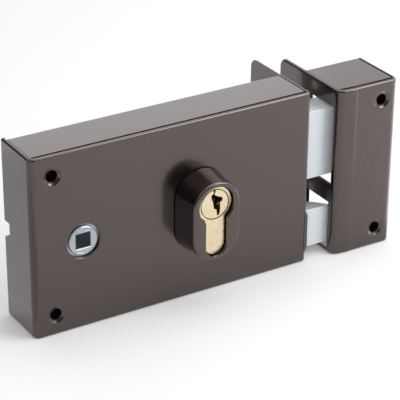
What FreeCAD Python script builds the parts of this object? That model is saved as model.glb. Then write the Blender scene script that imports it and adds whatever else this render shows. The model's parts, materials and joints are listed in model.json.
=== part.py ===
import FreeCAD, Part
import math
import os

# Surface-mounted door lock with its keeper, in millimetres.
# X runs along the door towards the keeper, Y runs into the door and Z is up.
# The origin is on the case's back face, where the axis of the key cylinder crosses it.

V = FreeCAD.Vector

# Sheet metal of the case and the keeper
SHEET = 1.5
BEND_INSIDE = 1.0
EDGE_ROUND = 0.4
SEAM = 0.3
FRONT_SEAM = 0.6
FLAP_DROP = 0.2

# Case
CASE_WIDTH = 141.0
CASE_HEIGHT = 86.0
CASE_DEPTH = 26.5
BACKSET = 58.0
KEY_HEIGHT = 50.0
FACEPLATE_TAIL = 21.5
FACEPLATE_CORNER = 4.3
EDGE_NOTCH_TOP = 47.0
EDGE_NOTCH_HEIGHT = 5.1
EDGE_NOTCH_DEPTH = 4.6
EDGE_NOTCH_SLOPE = 2.7

# Screw holes for mounting
FIXING_HOLE = 5.5
DIMPLE_WIDTH = 8.6
DIMPLE_DEPTH = 0.8
CASE_HOLE_INSET_X = 10.5
CASE_HOLE_INSET_Z = 9.8
TUBE_WALL = 1.7
EDGE_SCREW_HOLE = 5.0
EDGE_SCREW_HEAD = 8.6
EDGE_SINK = 0.9
CASE_EDGE_HOLE_UP = 20.0
CASE_EDGE_HOLE_DOWN = 34.0

# Follower for the handle's spindle
FOLLOWER_X = -58.5
FOLLOWER_Z = -7.8
SPINDLE_SQUARE = 7.0
COLLAR = 14.0
COLLAR_HOLE = 16.0
BARREL_WIDTH = 18.0
ARM_REACH = 21.8
ARM_WIDTH = 5.2
ARM_THICK = 6.0
BUSH_WIDTH = 18.0
BUSH_FLANGE = 22.0
BUSH_FLANGE_THICK = 1.2
COLLAR_SUNK = 0.1
STOP_WIDTH = 5.0
STOP_UP = 5.6

# Profile cylinder
CYL_BARREL = 17.0
CYL_HEIGHT = 33.0
CYL_LEG = 10.0
CYL_INSIDE = 30.0
CYL_OUTSIDE = 40.0
CYL_PROUD = 12.0
CAM_WIDTH = 10.0
CAM_GAP = 11.0
CAM_RING = 16.0
CAM_BORE = 10.1
CAM_REACH = 15.2
CAM_BIT = 6.4
BRIDGE_TOP = -15.5
PLUG = 13.0
PLUG_FACE = 14.2
PLUG_FACE_THICK = 2.0
PLUG_TAIL = 10.0
PLUG_TAIL_LENGTH = 4.0
CLIP_WIDTH = 15.0
CLIP_GROOVE = 11.8
CLIP_THICK = 0.8
CLIP_INSET = 1.0
CLIP_OPENING = 6.0
PIN = 2.7
PIN_COUNT = 5
PIN_FIRST = 5.5
PIN_PITCH = 3.9
KEY_PIN_TOP = -2.2
KEY_PIN_NOSE = 0.8
DRIVER_LENGTH = 5.0
CAP_LENGTH = 2.0
PIN_SPRING_WIRE = 0.35
PIN_SPRING_TURNS = 7
CYL_SCREW = 5.0
CYL_SCREW_HEAD = 9.0
CYL_SCREW_Z = -19.3
CYL_SCREW_SUNK = 0.2

# Cylinder guard
GUARD_PROUD = 14.0
GUARD_WIDTH = 27.0
GUARD_HEIGHT = 40.3
GUARD_TAPER = 1.7
GUARD_CENTRE_Z = -7.5
GUARD_EDGE = 1.1
GUARD_FOOT = 0.6
GUARD_FOOT_INSET = 0.5
GUARD_SCREW = 3.0
GUARD_SCREW_X = 9.3
GUARD_SCREW_Z = -16.0
GUARD_SCREW_DEPTH = 7.0
GUARD_SCREW_HEAD = 5.5
GUARD_SCREW_HEAD_THICK = 2.0

# Deadbolt
DEADBOLT_THROW = 20.0
DEADBOLT_PROUD = 20.0
DEADBOLT_HEIGHT = 33.8
DEADBOLT_TOP = 23.6
DEADBOLT_THICK = 13.0
DEADBOLT_FRONT = 5.0
DEADBOLT_IN_CASE = 26.5
BOLT_EDGE = 0.6
TAIL_THICK = 4.0
TAIL_TOP = 25.4
TAIL_BOTTOM = 10.4
TAIL_LENGTH = 62.5
TAIL_IN_HEAD = 12.0
TAIL_RIVET = 4.0
TAIL_RIVET_INSET = 3.2
TAIL_RIVET_DEPTH = 5.0
BIT_PLAY_SIDE = 1.5
BIT_PLAY_TOP = 0.7
GUIDE_STUD = 4.0
GUIDE_STUD_BASE = 8.0
GUIDE_STUD_X = -24.0
GUIDE_STUD_Z = 19.8
GUIDE_WASHER = 9.0
GUIDE_WASHER_THICK = 1.0
DETENT_X = -16.0
DETENT_DEPTH = 1.5
DETENT_LEAF = 0.5
DETENT_BLOCK_X = -46.0
DETENT_BLOCK_LENGTH = 8.0
DETENT_LEAF_Z = 30.0
DETENT_BLOCK_HEIGHT = 3.0
DETENT_NIB_UP = 0.9
DETENT_SLOPE = 0.6
DETENT_END = 4.0
DETENT_EDGE = 0.3
DETENT_BEND = 0.4

# Latch
LATCH_PROUD = 15.0
LATCH_HEIGHT = 19.2
LATCH_TOP = -25.7
LATCH_THICK = 13.0
LATCH_FRONT = 3.8
LATCH_NOSE = 0.8
LATCH_IN_CASE = 21.0
LATCH_BAR = 5.0
LATCH_BAR_Z = -32.5
LATCH_BAR_IN_HEAD = 8.0
LATCH_PIN = 2.0
LATCH_PIN_END = 5.0
LUG_THICK = 4.4
LUG_TOP = -21.0
LUG_PLAY = 0.7
LATCH_WIRE = 0.9
LATCH_SPRING_WIDTH = 9.4
LATCH_SPRING_TURNS = 9
GUIDE_FRONT_X = 5.0
GUIDE_REAR_X = -40.0
GUIDE_THICK = 2.0
GUIDE_HEIGHT = 12.0
GUIDE_REACH = 19.5
GUIDE_FOOT_LENGTH = 14.0
GUIDE_RIVET = 3.0
GUIDE_RIVET_INSET = 4.0
GUIDE_RIVET_SPACING = 6.0

# Raised part of the faceplate round the latch
BUMP_PROUD = 0.8
BUMP_TOP = -24.6
BUMP_HEIGHT = 19.8
BUMP_SLOPE = 1.6
BUMP_BACK = 20.5
BUMP_FRONT_ROUND = 1.0

# Slots of the screws, heads of the rivets
SCREW_SLOT = 1.0
SCREW_SLOT_DEPTH = 0.8
RIVET_HEAD_THICK = 0.9
RIVET_LIP = 0.9

# Posts that join cover and back
POST_WIDTH = 6.0
POST_SCREW = 4.0
POST_SCREW_HEAD = 6.5
POST_SCREW_HEAD_THICK = 1.3
POST_SCREW_LENGTH = 10.0
POST_FROM_DETENT = 7.0
POST_INSET_RIGHT = 16.0
POST_INSET_TOP = 5.8
POST_INSET_BOTTOM = 7.5
POST_BOTTOM_X = -5.0

# Keeper
KEEPER_GAP = 13.5
KEEPER_WIDTH = 33.0
KEEPER_HEIGHT = 84.0
KEEPER_DEPTH = 29.4
KEEPER_TAIL = 19.8
KEEPER_CORNER = 4.5
KEEPER_CREASE = 10.3
KEEPER_SLOPE = 0.8
KEEPER_CREASE_ROUND = 6.0
KEEPER_BEND_INSIDE = 1.2
OPENING_FRONT = 4.3
OPENING_BACK = 6.5
DEADBOLT_OPENING_BOTTOM = 35.7
DEADBOLT_OPENING_TOP = 75.0
LATCH_OPENING_BOTTOM = 2.5
LATCH_OPENING_TOP = 26.3
KEEPER_HOLE_INSET_X = 9.0
KEEPER_HOLE_INSET_Z = 9.0
KEEPER_EDGE_HOLE_UP = 68.0
KEEPER_EDGE_HOLE_DOWN = 16.0
KEEPER_RIVET = 3.0

# Clearances
RUNNING = 0.05
SLIDING = 0.15
BOLT_PLAY = 0.4
PROFILE_PLAY = 0.5
AXIAL_PLAY = 0.2
THREAD_PLAY = 0.05

# Places that follow from these sizes
FACE_X = BACKSET
LEFT_X = FACE_X - CASE_WIDTH
BOTTOM_Z = -KEY_HEIGHT
TOP_Z = CASE_HEIGHT - KEY_HEIGHT
FRONT_Y = -CASE_DEPTH
BEND_OUTSIDE = BEND_INSIDE + SHEET
COVER_IN_Y = FRONT_Y + SHEET
BACK_IN_Y = -SHEET
HOLE_X = LEFT_X + CASE_HOLE_INSET_X
HOLE_TOP_Z = TOP_Z - CASE_HOLE_INSET_Z
HOLE_BOTTOM_Z = BOTTOM_Z + CASE_HOLE_INSET_Z
TUBE_WIDTH = FIXING_HOLE + 2 * TUBE_WALL
EDGE_HOLE_Y = FACEPLATE_TAIL / 2
POST_PLACES = (
    (DETENT_BLOCK_X - POST_FROM_DETENT, TOP_Z - POST_INSET_TOP),
    (FACE_X - POST_INSET_RIGHT, TOP_Z - POST_INSET_TOP),
    (POST_BOTTOM_X, BOTTOM_Z + POST_INSET_BOTTOM),
)
CYL_FRONT_Y = FRONT_Y - CYL_PROUD
CAM_Y = CYL_FRONT_Y + CYL_INSIDE
CYL_BACK_Y = CAM_Y + CYL_OUTSIDE
LEG_BOTTOM = CYL_BARREL / 2 - CYL_HEIGHT
CYL_SCREW_SINK = (CYL_SCREW_HEAD - CYL_SCREW) / 2 - BOLT_PLAY
DEADBOLT_Y0 = FRONT_Y + DEADBOLT_FRONT
DEADBOLT_Y1 = DEADBOLT_Y0 + DEADBOLT_THICK
DEADBOLT_TIP = FACE_X + DEADBOLT_PROUD
DEADBOLT_REAR = FACE_X - DEADBOLT_IN_CASE
DEADBOLT_BOTTOM = DEADBOLT_TOP - DEADBOLT_HEIGHT
TAIL_Y1 = DEADBOLT_Y1
TAIL_Y0 = TAIL_Y1 - TAIL_THICK
TAIL_END = DEADBOLT_REAR - TAIL_LENGTH
LATCH_Y0 = FRONT_Y + LATCH_FRONT
LATCH_Y1 = LATCH_Y0 + LATCH_THICK
LATCH_MID_Y = (LATCH_Y0 + LATCH_Y1) / 2
LATCH_BOTTOM = LATCH_TOP - LATCH_HEIGHT
LATCH_TIP = FACE_X + LATCH_PROUD
LATCH_REAR = FACE_X - LATCH_IN_CASE
LUG_FACE = FOLLOWER_X - ARM_WIDTH / 2 - LUG_PLAY
KEEPER_X0 = FACE_X + KEEPER_GAP
KEEPER_X1 = KEEPER_X0 + KEEPER_WIDTH
KEEPER_TOP = BOTTOM_Z + KEEPER_HEIGHT
KEEPER_HOLE_X = KEEPER_X1 - KEEPER_HOLE_INSET_X
KEEPER_HOLE_TOP = KEEPER_TOP - KEEPER_HOLE_INSET_Z
KEEPER_HOLE_BOTTOM = BOTTOM_Z + KEEPER_HOLE_INSET_Z
KEEPER_EDGE_Y = KEEPER_TAIL / 2

os.makedirs("parts", exist_ok=True)


def save(name, shape):
    if not shape.isValid():
        print("not valid:", name)
    print(f"{name}: {len(shape.Solids)} solid(s), {shape.Volume:.1f} mm3")
    shape.exportStep(f"parts/{name}.step")


# Plain solids
def block(x0, x1, y0, y1, z0, z1):
    return Part.makeBox(x1 - x0, y1 - y0, z1 - z0, V(x0, y0, z0))


def rod(radius, start, end):
    along = end - start
    return Part.makeCylinder(radius, along.Length, start, along)


def rod_y(radius, x, z, y0, y1):
    return rod(radius, V(x, y0, z), V(x, y1, z))


def rod_x(radius, y, z, x0, x1):
    return rod(radius, V(x0, y, z), V(x1, y, z))


def tube_y(outside, inside, x, z, y0, y1):
    return rod_y(outside, x, z, y0, y1).cut(rod_y(inside, x, z, y0, y1))


def cone(start, end, start_radius, end_radius):
    along = end - start
    return Part.makeCone(start_radius, end_radius, along.Length, start, along)


def joined(shapes):
    return shapes[0].multiFuse(shapes[1:]).removeSplitter()


def group(shapes):
    return Part.makeCompound(shapes)


# Flat outlines: each plane turns a pair of numbers into a point
def on_xy(z):
    return lambda p: V(p[0], p[1], z)


def on_xz(y):
    return lambda p: V(p[0], y, p[1])


def on_yz(x):
    return lambda p: V(x, p[0], p[1])


def prism(points, plane, push):
    outline = Part.makePolygon([plane(p) for p in points + points[:1]])
    return Part.Face(outline).extrude(push)


# A path with rounded corners, as lines and tangent arcs
def rounded_path(points, radii, plane):
    edges = []
    start = points[0]
    for i in range(1, len(points) - 1):
        before, corner, after = points[i - 1], points[i], points[i + 1]
        a = (corner[0] - before[0], corner[1] - before[1])
        b = (after[0] - corner[0], after[1] - corner[1])
        length_a, length_b = math.hypot(*a), math.hypot(*b)
        a = (a[0] / length_a, a[1] / length_a)
        b = (b[0] / length_b, b[1] / length_b)
        turn = math.acos(max(-1.0, min(1.0, a[0] * b[0] + a[1] * b[1])))
        back_off = radii[i - 1] * math.tan(turn / 2)
        first = (corner[0] - a[0] * back_off, corner[1] - a[1] * back_off)
        last = (corner[0] + b[0] * back_off, corner[1] + b[1] * back_off)
        inward = (b[0] - a[0], b[1] - a[1])
        size = math.hypot(*inward)
        reach = radii[i - 1] / math.cos(turn / 2)
        centre = (corner[0] + inward[0] / size * reach, corner[1] + inward[1] / size * reach)
        middle = (
            centre[0] - inward[0] / size * radii[i - 1],
            centre[1] - inward[1] / size * radii[i - 1],
        )
        edges.append(Part.LineSegment(plane(start), plane(first)).toShape())
        edges.append(Part.Arc(plane(first), plane(middle), plane(last)).toShape())
        start = last
    edges.append(Part.LineSegment(plane(start), plane(points[-1])).toShape())
    return edges


# The path that runs beside another, at one thickness to its left
def beside(points, thickness):
    normals = []
    for p, q in zip(points, points[1:]):
        length = math.hypot(q[0] - p[0], q[1] - p[1])
        normals.append(((p[1] - q[1]) / length, (q[0] - p[0]) / length))
    result = []
    for i, p in enumerate(points):
        before = normals[max(i - 1, 0)]
        after = normals[min(i, len(normals) - 1)]
        bisector = (before[0] + after[0], before[1] + after[1])
        scale = thickness / (bisector[0] * before[0] + bisector[1] * before[1])
        result.append((p[0] + bisector[0] * scale, p[1] + bisector[1] * scale))
    return result


# A bent strip of sheet: the path is its right-hand side, the thickness lies to the left
def bent_sheet(points, bend_radii, thickness, plane, push):
    right_radii, left_radii = [], []
    for i, radius in enumerate(bend_radii):
        p, q, r = points[i], points[i + 1], points[i + 2]
        left_turn = (q[0] - p[0]) * (r[1] - q[1]) - (q[1] - p[1]) * (r[0] - q[0]) > 0
        right_radii.append(radius + thickness if left_turn else radius)
        left_radii.append(radius if left_turn else radius + thickness)
    other = beside(points, thickness)
    right = rounded_path(points, right_radii, plane)
    left = rounded_path(other, left_radii, plane)
    caps = [
        Part.LineSegment(plane(points[-1]), plane(other[-1])).toShape(),
        Part.LineSegment(plane(other[0]), plane(points[0])).toShape(),
    ]
    outline = Part.Wire(Part.__sortEdges__(right + left + caps))
    return Part.Face(outline).extrude(push)


# Rounds the rim edges of a sheet that lie at one height, on its outer side only
def soften(shape, chosen, radius):
    edges = [edge for edge in shape.Edges if chosen(edge)]
    return shape.makeFillet(radius, edges) if edges else shape


# The middle of the arc that leaves one point along a heading and ends at another
def arc_middle(start, heading, end):
    chord = end - start
    side = chord - heading * chord.dot(heading)
    side.normalize()
    radius = chord.dot(chord) / (2 * chord.dot(side))
    centre = start + side * radius
    outward = start + end - centre * 2
    outward.normalize()
    return centre + outward * radius


# Two arcs from one point and heading to the next, tangent where they meet
def two_arcs(start, leaving, end, arriving):
    chord = end - start
    along = chord.dot(leaving + arriving)
    spread = 2 * (1 - leaving.dot(arriving))
    reach = (math.sqrt(along**2 + spread * chord.dot(chord)) - along) / spread
    joint = (start + leaving * reach + end - arriving * reach) * 0.5
    return [
        Part.Arc(start, arc_middle(start, leaving, joint), joint).toShape(),
        Part.Arc(joint, arc_middle(end, arriving * -1, joint), end).toShape(),
    ]


# A coil spring along Z from the origin, then turned and moved to its place
def coil(radius, wire_radius, turns, length, start, direction):
    climb = (length - 2 * wire_radius) / (2 * math.pi * turns)
    points, headings, arcs = [], [], []
    for i in range(4 * turns + 1):
        angle = i * math.pi / 2
        sine, cosine = math.sin(angle), math.cos(angle)
        points.append(V(radius * cosine, radius * sine, wire_radius + climb * angle))
        headings.append(V(-radius * sine, radius * cosine, climb).normalize())
    for i in range(4 * turns):
        arcs += two_arcs(points[i], headings[i], points[i + 1], headings[i + 1])
    ring = Part.Wire([Part.makeCircle(wire_radius, points[0], headings[0])])
    spring = Part.Wire(arcs).makePipeShell([ring], True, False)
    turn = FreeCAD.Rotation(V(0, 0, 1), direction)
    spring.Placement = FreeCAD.Placement(start, turn).multiply(spring.Placement)
    return spring


# A screw hole in a front plate, with the pressed dimple that takes the screw's head
def dimpled_hole(x, z, front_y):
    through = rod_y(FIXING_HOLE / 2, x, z, front_y - 1, front_y + SHEET + 1)
    dimple = cone(
        V(x, front_y, z), V(x, front_y + DIMPLE_DEPTH, z), DIMPLE_WIDTH / 2, FIXING_HOLE / 2
    )
    return through.fuse(dimple)


# A countersunk hole through a plate whose outer face looks along +X or -X
def countersunk_x(y, z, face_x, outward, hole, head, depth):
    through = rod_x(hole / 2, y, z, face_x - SHEET - 2, face_x + SHEET + 2)
    sink = cone(V(face_x, y, z), V(face_x - outward * depth, y, z), head / 2, hole / 2)
    return through.fuse(sink)


# The keyhole shape of a profile cylinder, grown by a clearance
def profile(extra, y0, y1):
    barrel = rod_y(CYL_BARREL / 2 + extra, 0, 0, y0, y1)
    half = CYL_LEG / 2 + extra
    foot_z = LEG_BOTTOM + CYL_LEG / 2
    leg = block(-half, half, y0, y1, foot_z, 0)
    foot = rod_y(half, 0, foot_z, y0, y1)
    return joined([barrel, leg, foot])


def stadium(width, height, centre_z, y):
    radius = width / 2
    half = height / 2 - radius
    corners = [
        V(-radius, y, centre_z - half),
        V(-radius, y, centre_z + half),
        V(0, y, centre_z + half + radius),
        V(radius, y, centre_z + half),
        V(radius, y, centre_z - half),
        V(0, y, centre_z - half - radius),
    ]
    return Part.Wire(
        [
            Part.LineSegment(corners[0], corners[1]).toShape(),
            Part.Arc(corners[1], corners[2], corners[3]).toShape(),
            Part.LineSegment(corners[3], corners[4]).toShape(),
            Part.Arc(corners[4], corners[5], corners[0]).toShape(),
        ]
    )


# Case cover: the front, the left flange and the faceplate are one bent sheet
def case_cover():
    path = [(LEFT_X, 0), (LEFT_X, FRONT_Y), (FACE_X, FRONT_Y), (FACE_X, FACEPLATE_TAIL)]
    cover = bent_sheet(
        path, [BEND_INSIDE] * 2, SHEET, on_xy(BOTTOM_Z), V(0, 0, CASE_HEIGHT)
    )
    cover = soften(cover, outer_rim_of_cover, EDGE_ROUND)
    cover = round_plate_corners(
        cover, FACE_X - SHEET, FACE_X, FACEPLATE_TAIL, BOTTOM_Z, TOP_Z, FACEPLATE_CORNER
    )
    cover = joined([cover, latch_bump(0)]).cut(latch_bump(SHEET))
    cuts = [
        dimpled_hole(HOLE_X, HOLE_TOP_Z, FRONT_Y),
        dimpled_hole(HOLE_X, HOLE_BOTTOM_Z, FRONT_Y),
        follower_hole(),
        profile(PROFILE_PLAY, FRONT_Y - 1, COVER_IN_Y + 1),
        edge_notch(),
        bolt_hole(DEADBOLT_Y0, DEADBOLT_Y1, DEADBOLT_BOTTOM, DEADBOLT_TOP),
        bolt_hole(LATCH_Y0, LATCH_Y1, LATCH_BOTTOM, LATCH_TOP),
        countersunk_x(CAM_Y, CYL_SCREW_Z, FACE_X, 1,
                      CYL_SCREW + 2 * BOLT_PLAY, CYL_SCREW_HEAD, CYL_SCREW_SINK),
    ]
    for z in (CASE_EDGE_HOLE_UP, -CASE_EDGE_HOLE_DOWN):
        cuts.append(countersunk_x(EDGE_HOLE_Y, z, FACE_X, 1,
                                  EDGE_SCREW_HOLE, EDGE_SCREW_HEAD, EDGE_SINK))
    for side in (-1, 1):
        x = side * GUARD_SCREW_X
        radius = GUARD_SCREW / 2 + SLIDING
        cuts.append(rod_y(radius, x, GUARD_SCREW_Z, FRONT_Y - 1, COVER_IN_Y + 1))
    return cover.cut(group(cuts))


# The outer edges along the cover's top and bottom rims
def outer_rim_of_cover(edge):
    box = edge.BoundBox
    level = abs(box.ZMin - box.ZMax) < 0.01
    rim = abs(box.ZMin - TOP_Z) < 0.01 or abs(box.ZMin - BOTTOM_Z) < 0.01
    front = box.YMin < FRONT_Y + 0.01
    left = box.XMax < LEFT_X + 0.01
    right = box.XMin > FACE_X - 0.01
    return level and rim and (front or left or right)


# Rounds the two free corners of a plate that stands on the YZ plane
def round_plate_corners(sheet, x0, x1, y_end, z0, z1, radius):
    for z, side in ((z0, 1), (z1, -1)):
        corner = block(x0 - 1, x1 + 1, y_end - radius, y_end + 1, min(z - side, z + side * radius),
                       max(z - side, z + side * radius))
        keep = rod_x(radius, y_end - radius, z + side * radius, x0 - 2, x1 + 2)
        sheet = sheet.cut(corner.cut(keep))
    return sheet


# The latch's surround is pressed outwards: the inner copy leaves the sheet's thickness
def latch_bump(inset):
    top = BUMP_TOP - inset
    bottom = BUMP_TOP - BUMP_HEIGHT + inset
    out = FACE_X + BUMP_PROUD - inset
    base = FACE_X - SHEET
    slope = BUMP_SLOPE * (out - base) / BUMP_PROUD
    run = BUMP_SLOPE * (out - FACE_X) / BUMP_PROUD
    points = [
        (base, bottom + run - slope),
        (out, bottom + run),
        (out, top - run),
        (base, top - run + slope),
    ]
    y0 = FRONT_Y + inset
    bump = prism(points, on_xz(y0), V(0, BUMP_BACK - 2 * inset, 0))
    if inset:
        return bump
    return soften(bump, lambda e: abs(e.BoundBox.YMax - y0) < 0.01 and e.BoundBox.XMax > FACE_X,
                  BUMP_FRONT_ROUND)


def follower_hole():
    through = rod_y(COLLAR_HOLE / 2, FOLLOWER_X, FOLLOWER_Z, FRONT_Y - 1, COVER_IN_Y + 1)
    lip = cone(
        V(FOLLOWER_X, FRONT_Y, FOLLOWER_Z),
        V(FOLLOWER_X, FRONT_Y + EDGE_ROUND, FOLLOWER_Z),
        COLLAR_HOLE / 2 + EDGE_ROUND,
        COLLAR_HOLE / 2,
    )
    return through.fuse(lip)


# A bolt's opening in the faceplate
def bolt_hole(y0, y1, z0, z1):
    return block(
        FACE_X - 2 * SHEET, FACE_X + 2 * SHEET,
        y0 - BOLT_PLAY, y1 + BOLT_PLAY, z0 - BOLT_PLAY, z1 + BOLT_PLAY,
    )


# The notch in the case's left rear edge
def edge_notch():
    top = BOTTOM_Z + EDGE_NOTCH_TOP
    low_inside = top - EDGE_NOTCH_HEIGHT
    low_outside = low_inside - EDGE_NOTCH_SLOPE
    points = [
        (1, top),
        (-EDGE_NOTCH_DEPTH, top),
        (-EDGE_NOTCH_DEPTH, low_inside),
        (0, low_outside),
        (1, low_outside),
    ]
    return prism(points, on_yz(LEFT_X - 1), V(1 + SHEET + EDGE_NOTCH_DEPTH, 0, 0))


# Case back: the back wall with the top and bottom flaps
def case_back():
    front = COVER_IN_Y + FRONT_SEAM
    top = TOP_Z - FLAP_DROP
    bottom = BOTTOM_Z + FLAP_DROP
    path = [(front, bottom), (0, bottom), (0, top), (front, top)]
    start = LEFT_X + SHEET + SEAM
    width = CASE_WIDTH - 2 * SHEET - 2 * SEAM
    back = bent_sheet(path, [BEND_INSIDE] * 2, SHEET, on_yz(start), V(width, 0, 0))
    cuts = [
        profile(PROFILE_PLAY, BACK_IN_Y - 1, 1),
        rod_y(BUSH_WIDTH / 2 + RUNNING, FOLLOWER_X, FOLLOWER_Z, BACK_IN_Y - 1, 1),
        rod_y(FIXING_HOLE / 2, HOLE_X, HOLE_TOP_Z, BACK_IN_Y - 1, 1),
        rod_y(FIXING_HOLE / 2, HOLE_X, HOLE_BOTTOM_Z, BACK_IN_Y - 1, 1),
        edge_notch(),
    ]
    for x, z in POST_PLACES:
        cuts.append(post_screw_shape(x, z, RUNNING))
    return back.cut(group(cuts))


# A countersunk screw whose head lies flush in the case's back face
def post_screw_shape(x, z, extra):
    head = cone(
        V(x, 0, z), V(x, -POST_SCREW_HEAD_THICK, z),
        POST_SCREW_HEAD / 2 + extra, POST_SCREW / 2 + extra,
    )
    shank = rod_y(POST_SCREW / 2 + extra, x, z, -POST_SCREW_LENGTH, 0)
    return joined([head, shank])


def cover_posts():
    posts = []
    for x, z in POST_PLACES:
        post = rod_y(POST_WIDTH / 2, x, z, COVER_IN_Y, BACK_IN_Y)
        thread = rod_y(POST_SCREW / 2 + THREAD_PLAY, x, z, -POST_SCREW_LENGTH - 1, 0)
        posts.append(post.cut(thread))
    return group(posts)


def back_screws():
    screws = []
    for x, z in POST_PLACES:
        slot = slot_across(x, z, POST_SCREW_HEAD, -SCREW_SLOT_DEPTH, 1)
        screws.append(post_screw_shape(x, z, 0).cut(slot))
    return group(screws)


# Straight slot across a screw's head
def slot_across(x, z, head, y0, y1):
    half = SCREW_SLOT / 2
    return block(x - head, x + head, y0, y1, z - half, z + half)


def fixing_tubes(x, places, y0, y1):
    tubes = []
    for z in places:
        tubes.append(tube_y(TUBE_WIDTH / 2, FIXING_HOLE / 2, x, z, y0, y1))
    return group(tubes)


# Oval guard that stands round the cylinder, on a narrower foot
def cylinder_guard():
    base_y = FRONT_Y - GUARD_FOOT
    face_y = FRONT_Y - GUARD_PROUD
    base = stadium(GUARD_WIDTH, GUARD_HEIGHT, GUARD_CENTRE_Z, base_y)
    face = stadium(
        GUARD_WIDTH - 2 * GUARD_TAPER, GUARD_HEIGHT - 2 * GUARD_TAPER, GUARD_CENTRE_Z, face_y
    )
    body = Part.makeLoft([base, face], True, True)
    body = soften(body, lambda e: abs(e.BoundBox.YMax - face_y) < 0.01, GUARD_EDGE)
    foot_outline = stadium(
        GUARD_WIDTH - 2 * GUARD_FOOT_INSET, GUARD_HEIGHT - 2 * GUARD_FOOT_INSET,
        GUARD_CENTRE_Z, FRONT_Y,
    )
    foot = Part.Face(foot_outline).extrude(V(0, -GUARD_FOOT - 1, 0))
    guard = joined([body, foot]).cut(profile(PROFILE_PLAY, face_y - 1, FRONT_Y + 1))
    for side in (-1, 1):
        thread = rod_y(
            GUARD_SCREW / 2 + THREAD_PLAY, side * GUARD_SCREW_X, GUARD_SCREW_Z,
            FRONT_Y - GUARD_SCREW_DEPTH - 1, FRONT_Y + 1,
        )
        guard = guard.cut(thread)
    return guard


def guard_screws():
    screws = []
    for side in (-1, 1):
        x = side * GUARD_SCREW_X
        z = GUARD_SCREW_Z
        shank = rod_y(GUARD_SCREW / 2, x, z, FRONT_Y - GUARD_SCREW_DEPTH, COVER_IN_Y + 1)
        head_end = COVER_IN_Y + GUARD_SCREW_HEAD_THICK
        head = rod_y(GUARD_SCREW_HEAD / 2, x, z, COVER_IN_Y, head_end)
        slot = slot_across(x, z, GUARD_SCREW_HEAD, head_end - SCREW_SLOT_DEPTH, head_end + 1)
        screws.append(joined([shank, head]).cut(slot))
    return group(screws)


# Places of the pin stacks, measured from each end of the cylinder
def pin_places(end_y, inward):
    return [end_y + inward * (PIN_FIRST + PIN_PITCH * i) for i in range(PIN_COUNT)]


INSIDE_PINS = pin_places(CYL_FRONT_Y, 1)
OUTSIDE_PINS = pin_places(CYL_BACK_Y, -1)


# Brass housing of the cylinder: two halves joined by the bridge under the cam
def cylinder_body():
    gap0, gap1 = CAM_Y - CAM_GAP / 2, CAM_Y + CAM_GAP / 2
    body = profile(0, CYL_FRONT_Y, CYL_BACK_Y)
    half = CYL_BARREL / 2 + 1
    cuts = [
        block(-half, half, gap0, gap1, BRIDGE_TOP, half),
        rod_y(PLUG / 2 + RUNNING, 0, 0, CYL_FRONT_Y - 1, CYL_BACK_Y + 1),
        rod_x(CYL_SCREW / 2 + THREAD_PLAY, CAM_Y, CYL_SCREW_Z, -CYL_LEG, CYL_LEG),
    ]
    seat = PLUG_FACE / 2 + RUNNING
    depth = PLUG_FACE_THICK + AXIAL_PLAY
    cuts.append(rod_y(seat, 0, 0, CYL_FRONT_Y - 1, CYL_FRONT_Y + depth))
    cuts.append(rod_y(seat, 0, 0, CYL_BACK_Y - depth, CYL_BACK_Y + 1))
    pocket = CLIP_WIDTH / 2 + SLIDING
    pocket_depth = CLIP_INSET + CLIP_THICK / 2
    cuts.append(rod_y(pocket, 0, 0, gap0 - pocket_depth, gap0 + 1))
    cuts.append(rod_y(pocket, 0, 0, gap1 - 1, gap1 + pocket_depth))
    for y in INSIDE_PINS + OUTSIDE_PINS:
        cuts.append(rod(PIN / 2 + RUNNING, V(0, y, LEG_BOTTOM - 1), V(0, y, -PLUG / 2 + 1)))
    return body.cut(joined(cuts))


# Winding outline of the keyway, seen on the plug's face
KEYWAY = [
    (-1.2, 8.0), (0.45, 8.0), (0.2, 5.9), (-0.3, 4.6), (1.1, 3.7), (3.9, 2.5), (3.9, 1.0),
    (2.7, 0.4), (2.7, -2.8), (2.4, -5.7), (1.1, -5.7), (0.9, -2.9), (-0.5, -2.0), (-0.9, 1.0),
    (-1.7, 2.9), (-1.8, 4.6), (-0.5, 5.4),
]


# A turning plug from its face to the tail in the cam's bore; outward is -1 or 1 along Y
def plug(face_y, outward, pins):
    cam_side = CAM_Y + outward * (CAM_WIDTH / 2 + AXIAL_PLAY)
    shaft = rod_y(PLUG / 2, 0, 0, min(face_y, cam_side), max(face_y, cam_side))
    flange_y = face_y - outward * PLUG_FACE_THICK
    flange = rod_y(PLUG_FACE / 2, 0, 0, min(face_y, flange_y), max(face_y, flange_y))
    flange = soften(flange, lambda e: abs(e.BoundBox.YMin - face_y) < 0.01
                    and abs(e.BoundBox.YMax - face_y) < 0.01, SLIDING)
    tail_y = cam_side - outward * PLUG_TAIL_LENGTH
    tail = rod_y(PLUG_TAIL / 2, 0, 0, min(cam_side, tail_y), max(cam_side, tail_y))
    body = joined([shaft, flange, tail])
    keyway_end = CAM_Y + outward * (CAM_GAP / 2 + 2 * CLIP_INSET + CLIP_THICK)
    y0, y1 = min(face_y, keyway_end), max(face_y, keyway_end)
    if outward < 0:
        y0 -= 1
    else:
        y1 += 1
    cuts = [prism([(-outward * x, z) for x, z in KEYWAY], on_xz(y0), V(0, y1 - y0, 0))]
    for y in pins:
        cuts.append(rod(PIN / 2 + RUNNING, V(0, y, -PLUG), V(0, y, KEY_PIN_TOP)))
    clip_y = clip_place(outward)
    groove = tube_y(
        PLUG, CLIP_GROOVE / 2, 0, 0,
        clip_y - CLIP_THICK / 2 - RUNNING, clip_y + CLIP_THICK / 2 + RUNNING,
    )
    cuts.append(groove)
    return body.cut(group(cuts))


def clip_place(outward):
    return CAM_Y + outward * (CAM_GAP / 2 + CLIP_INSET)


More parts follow.
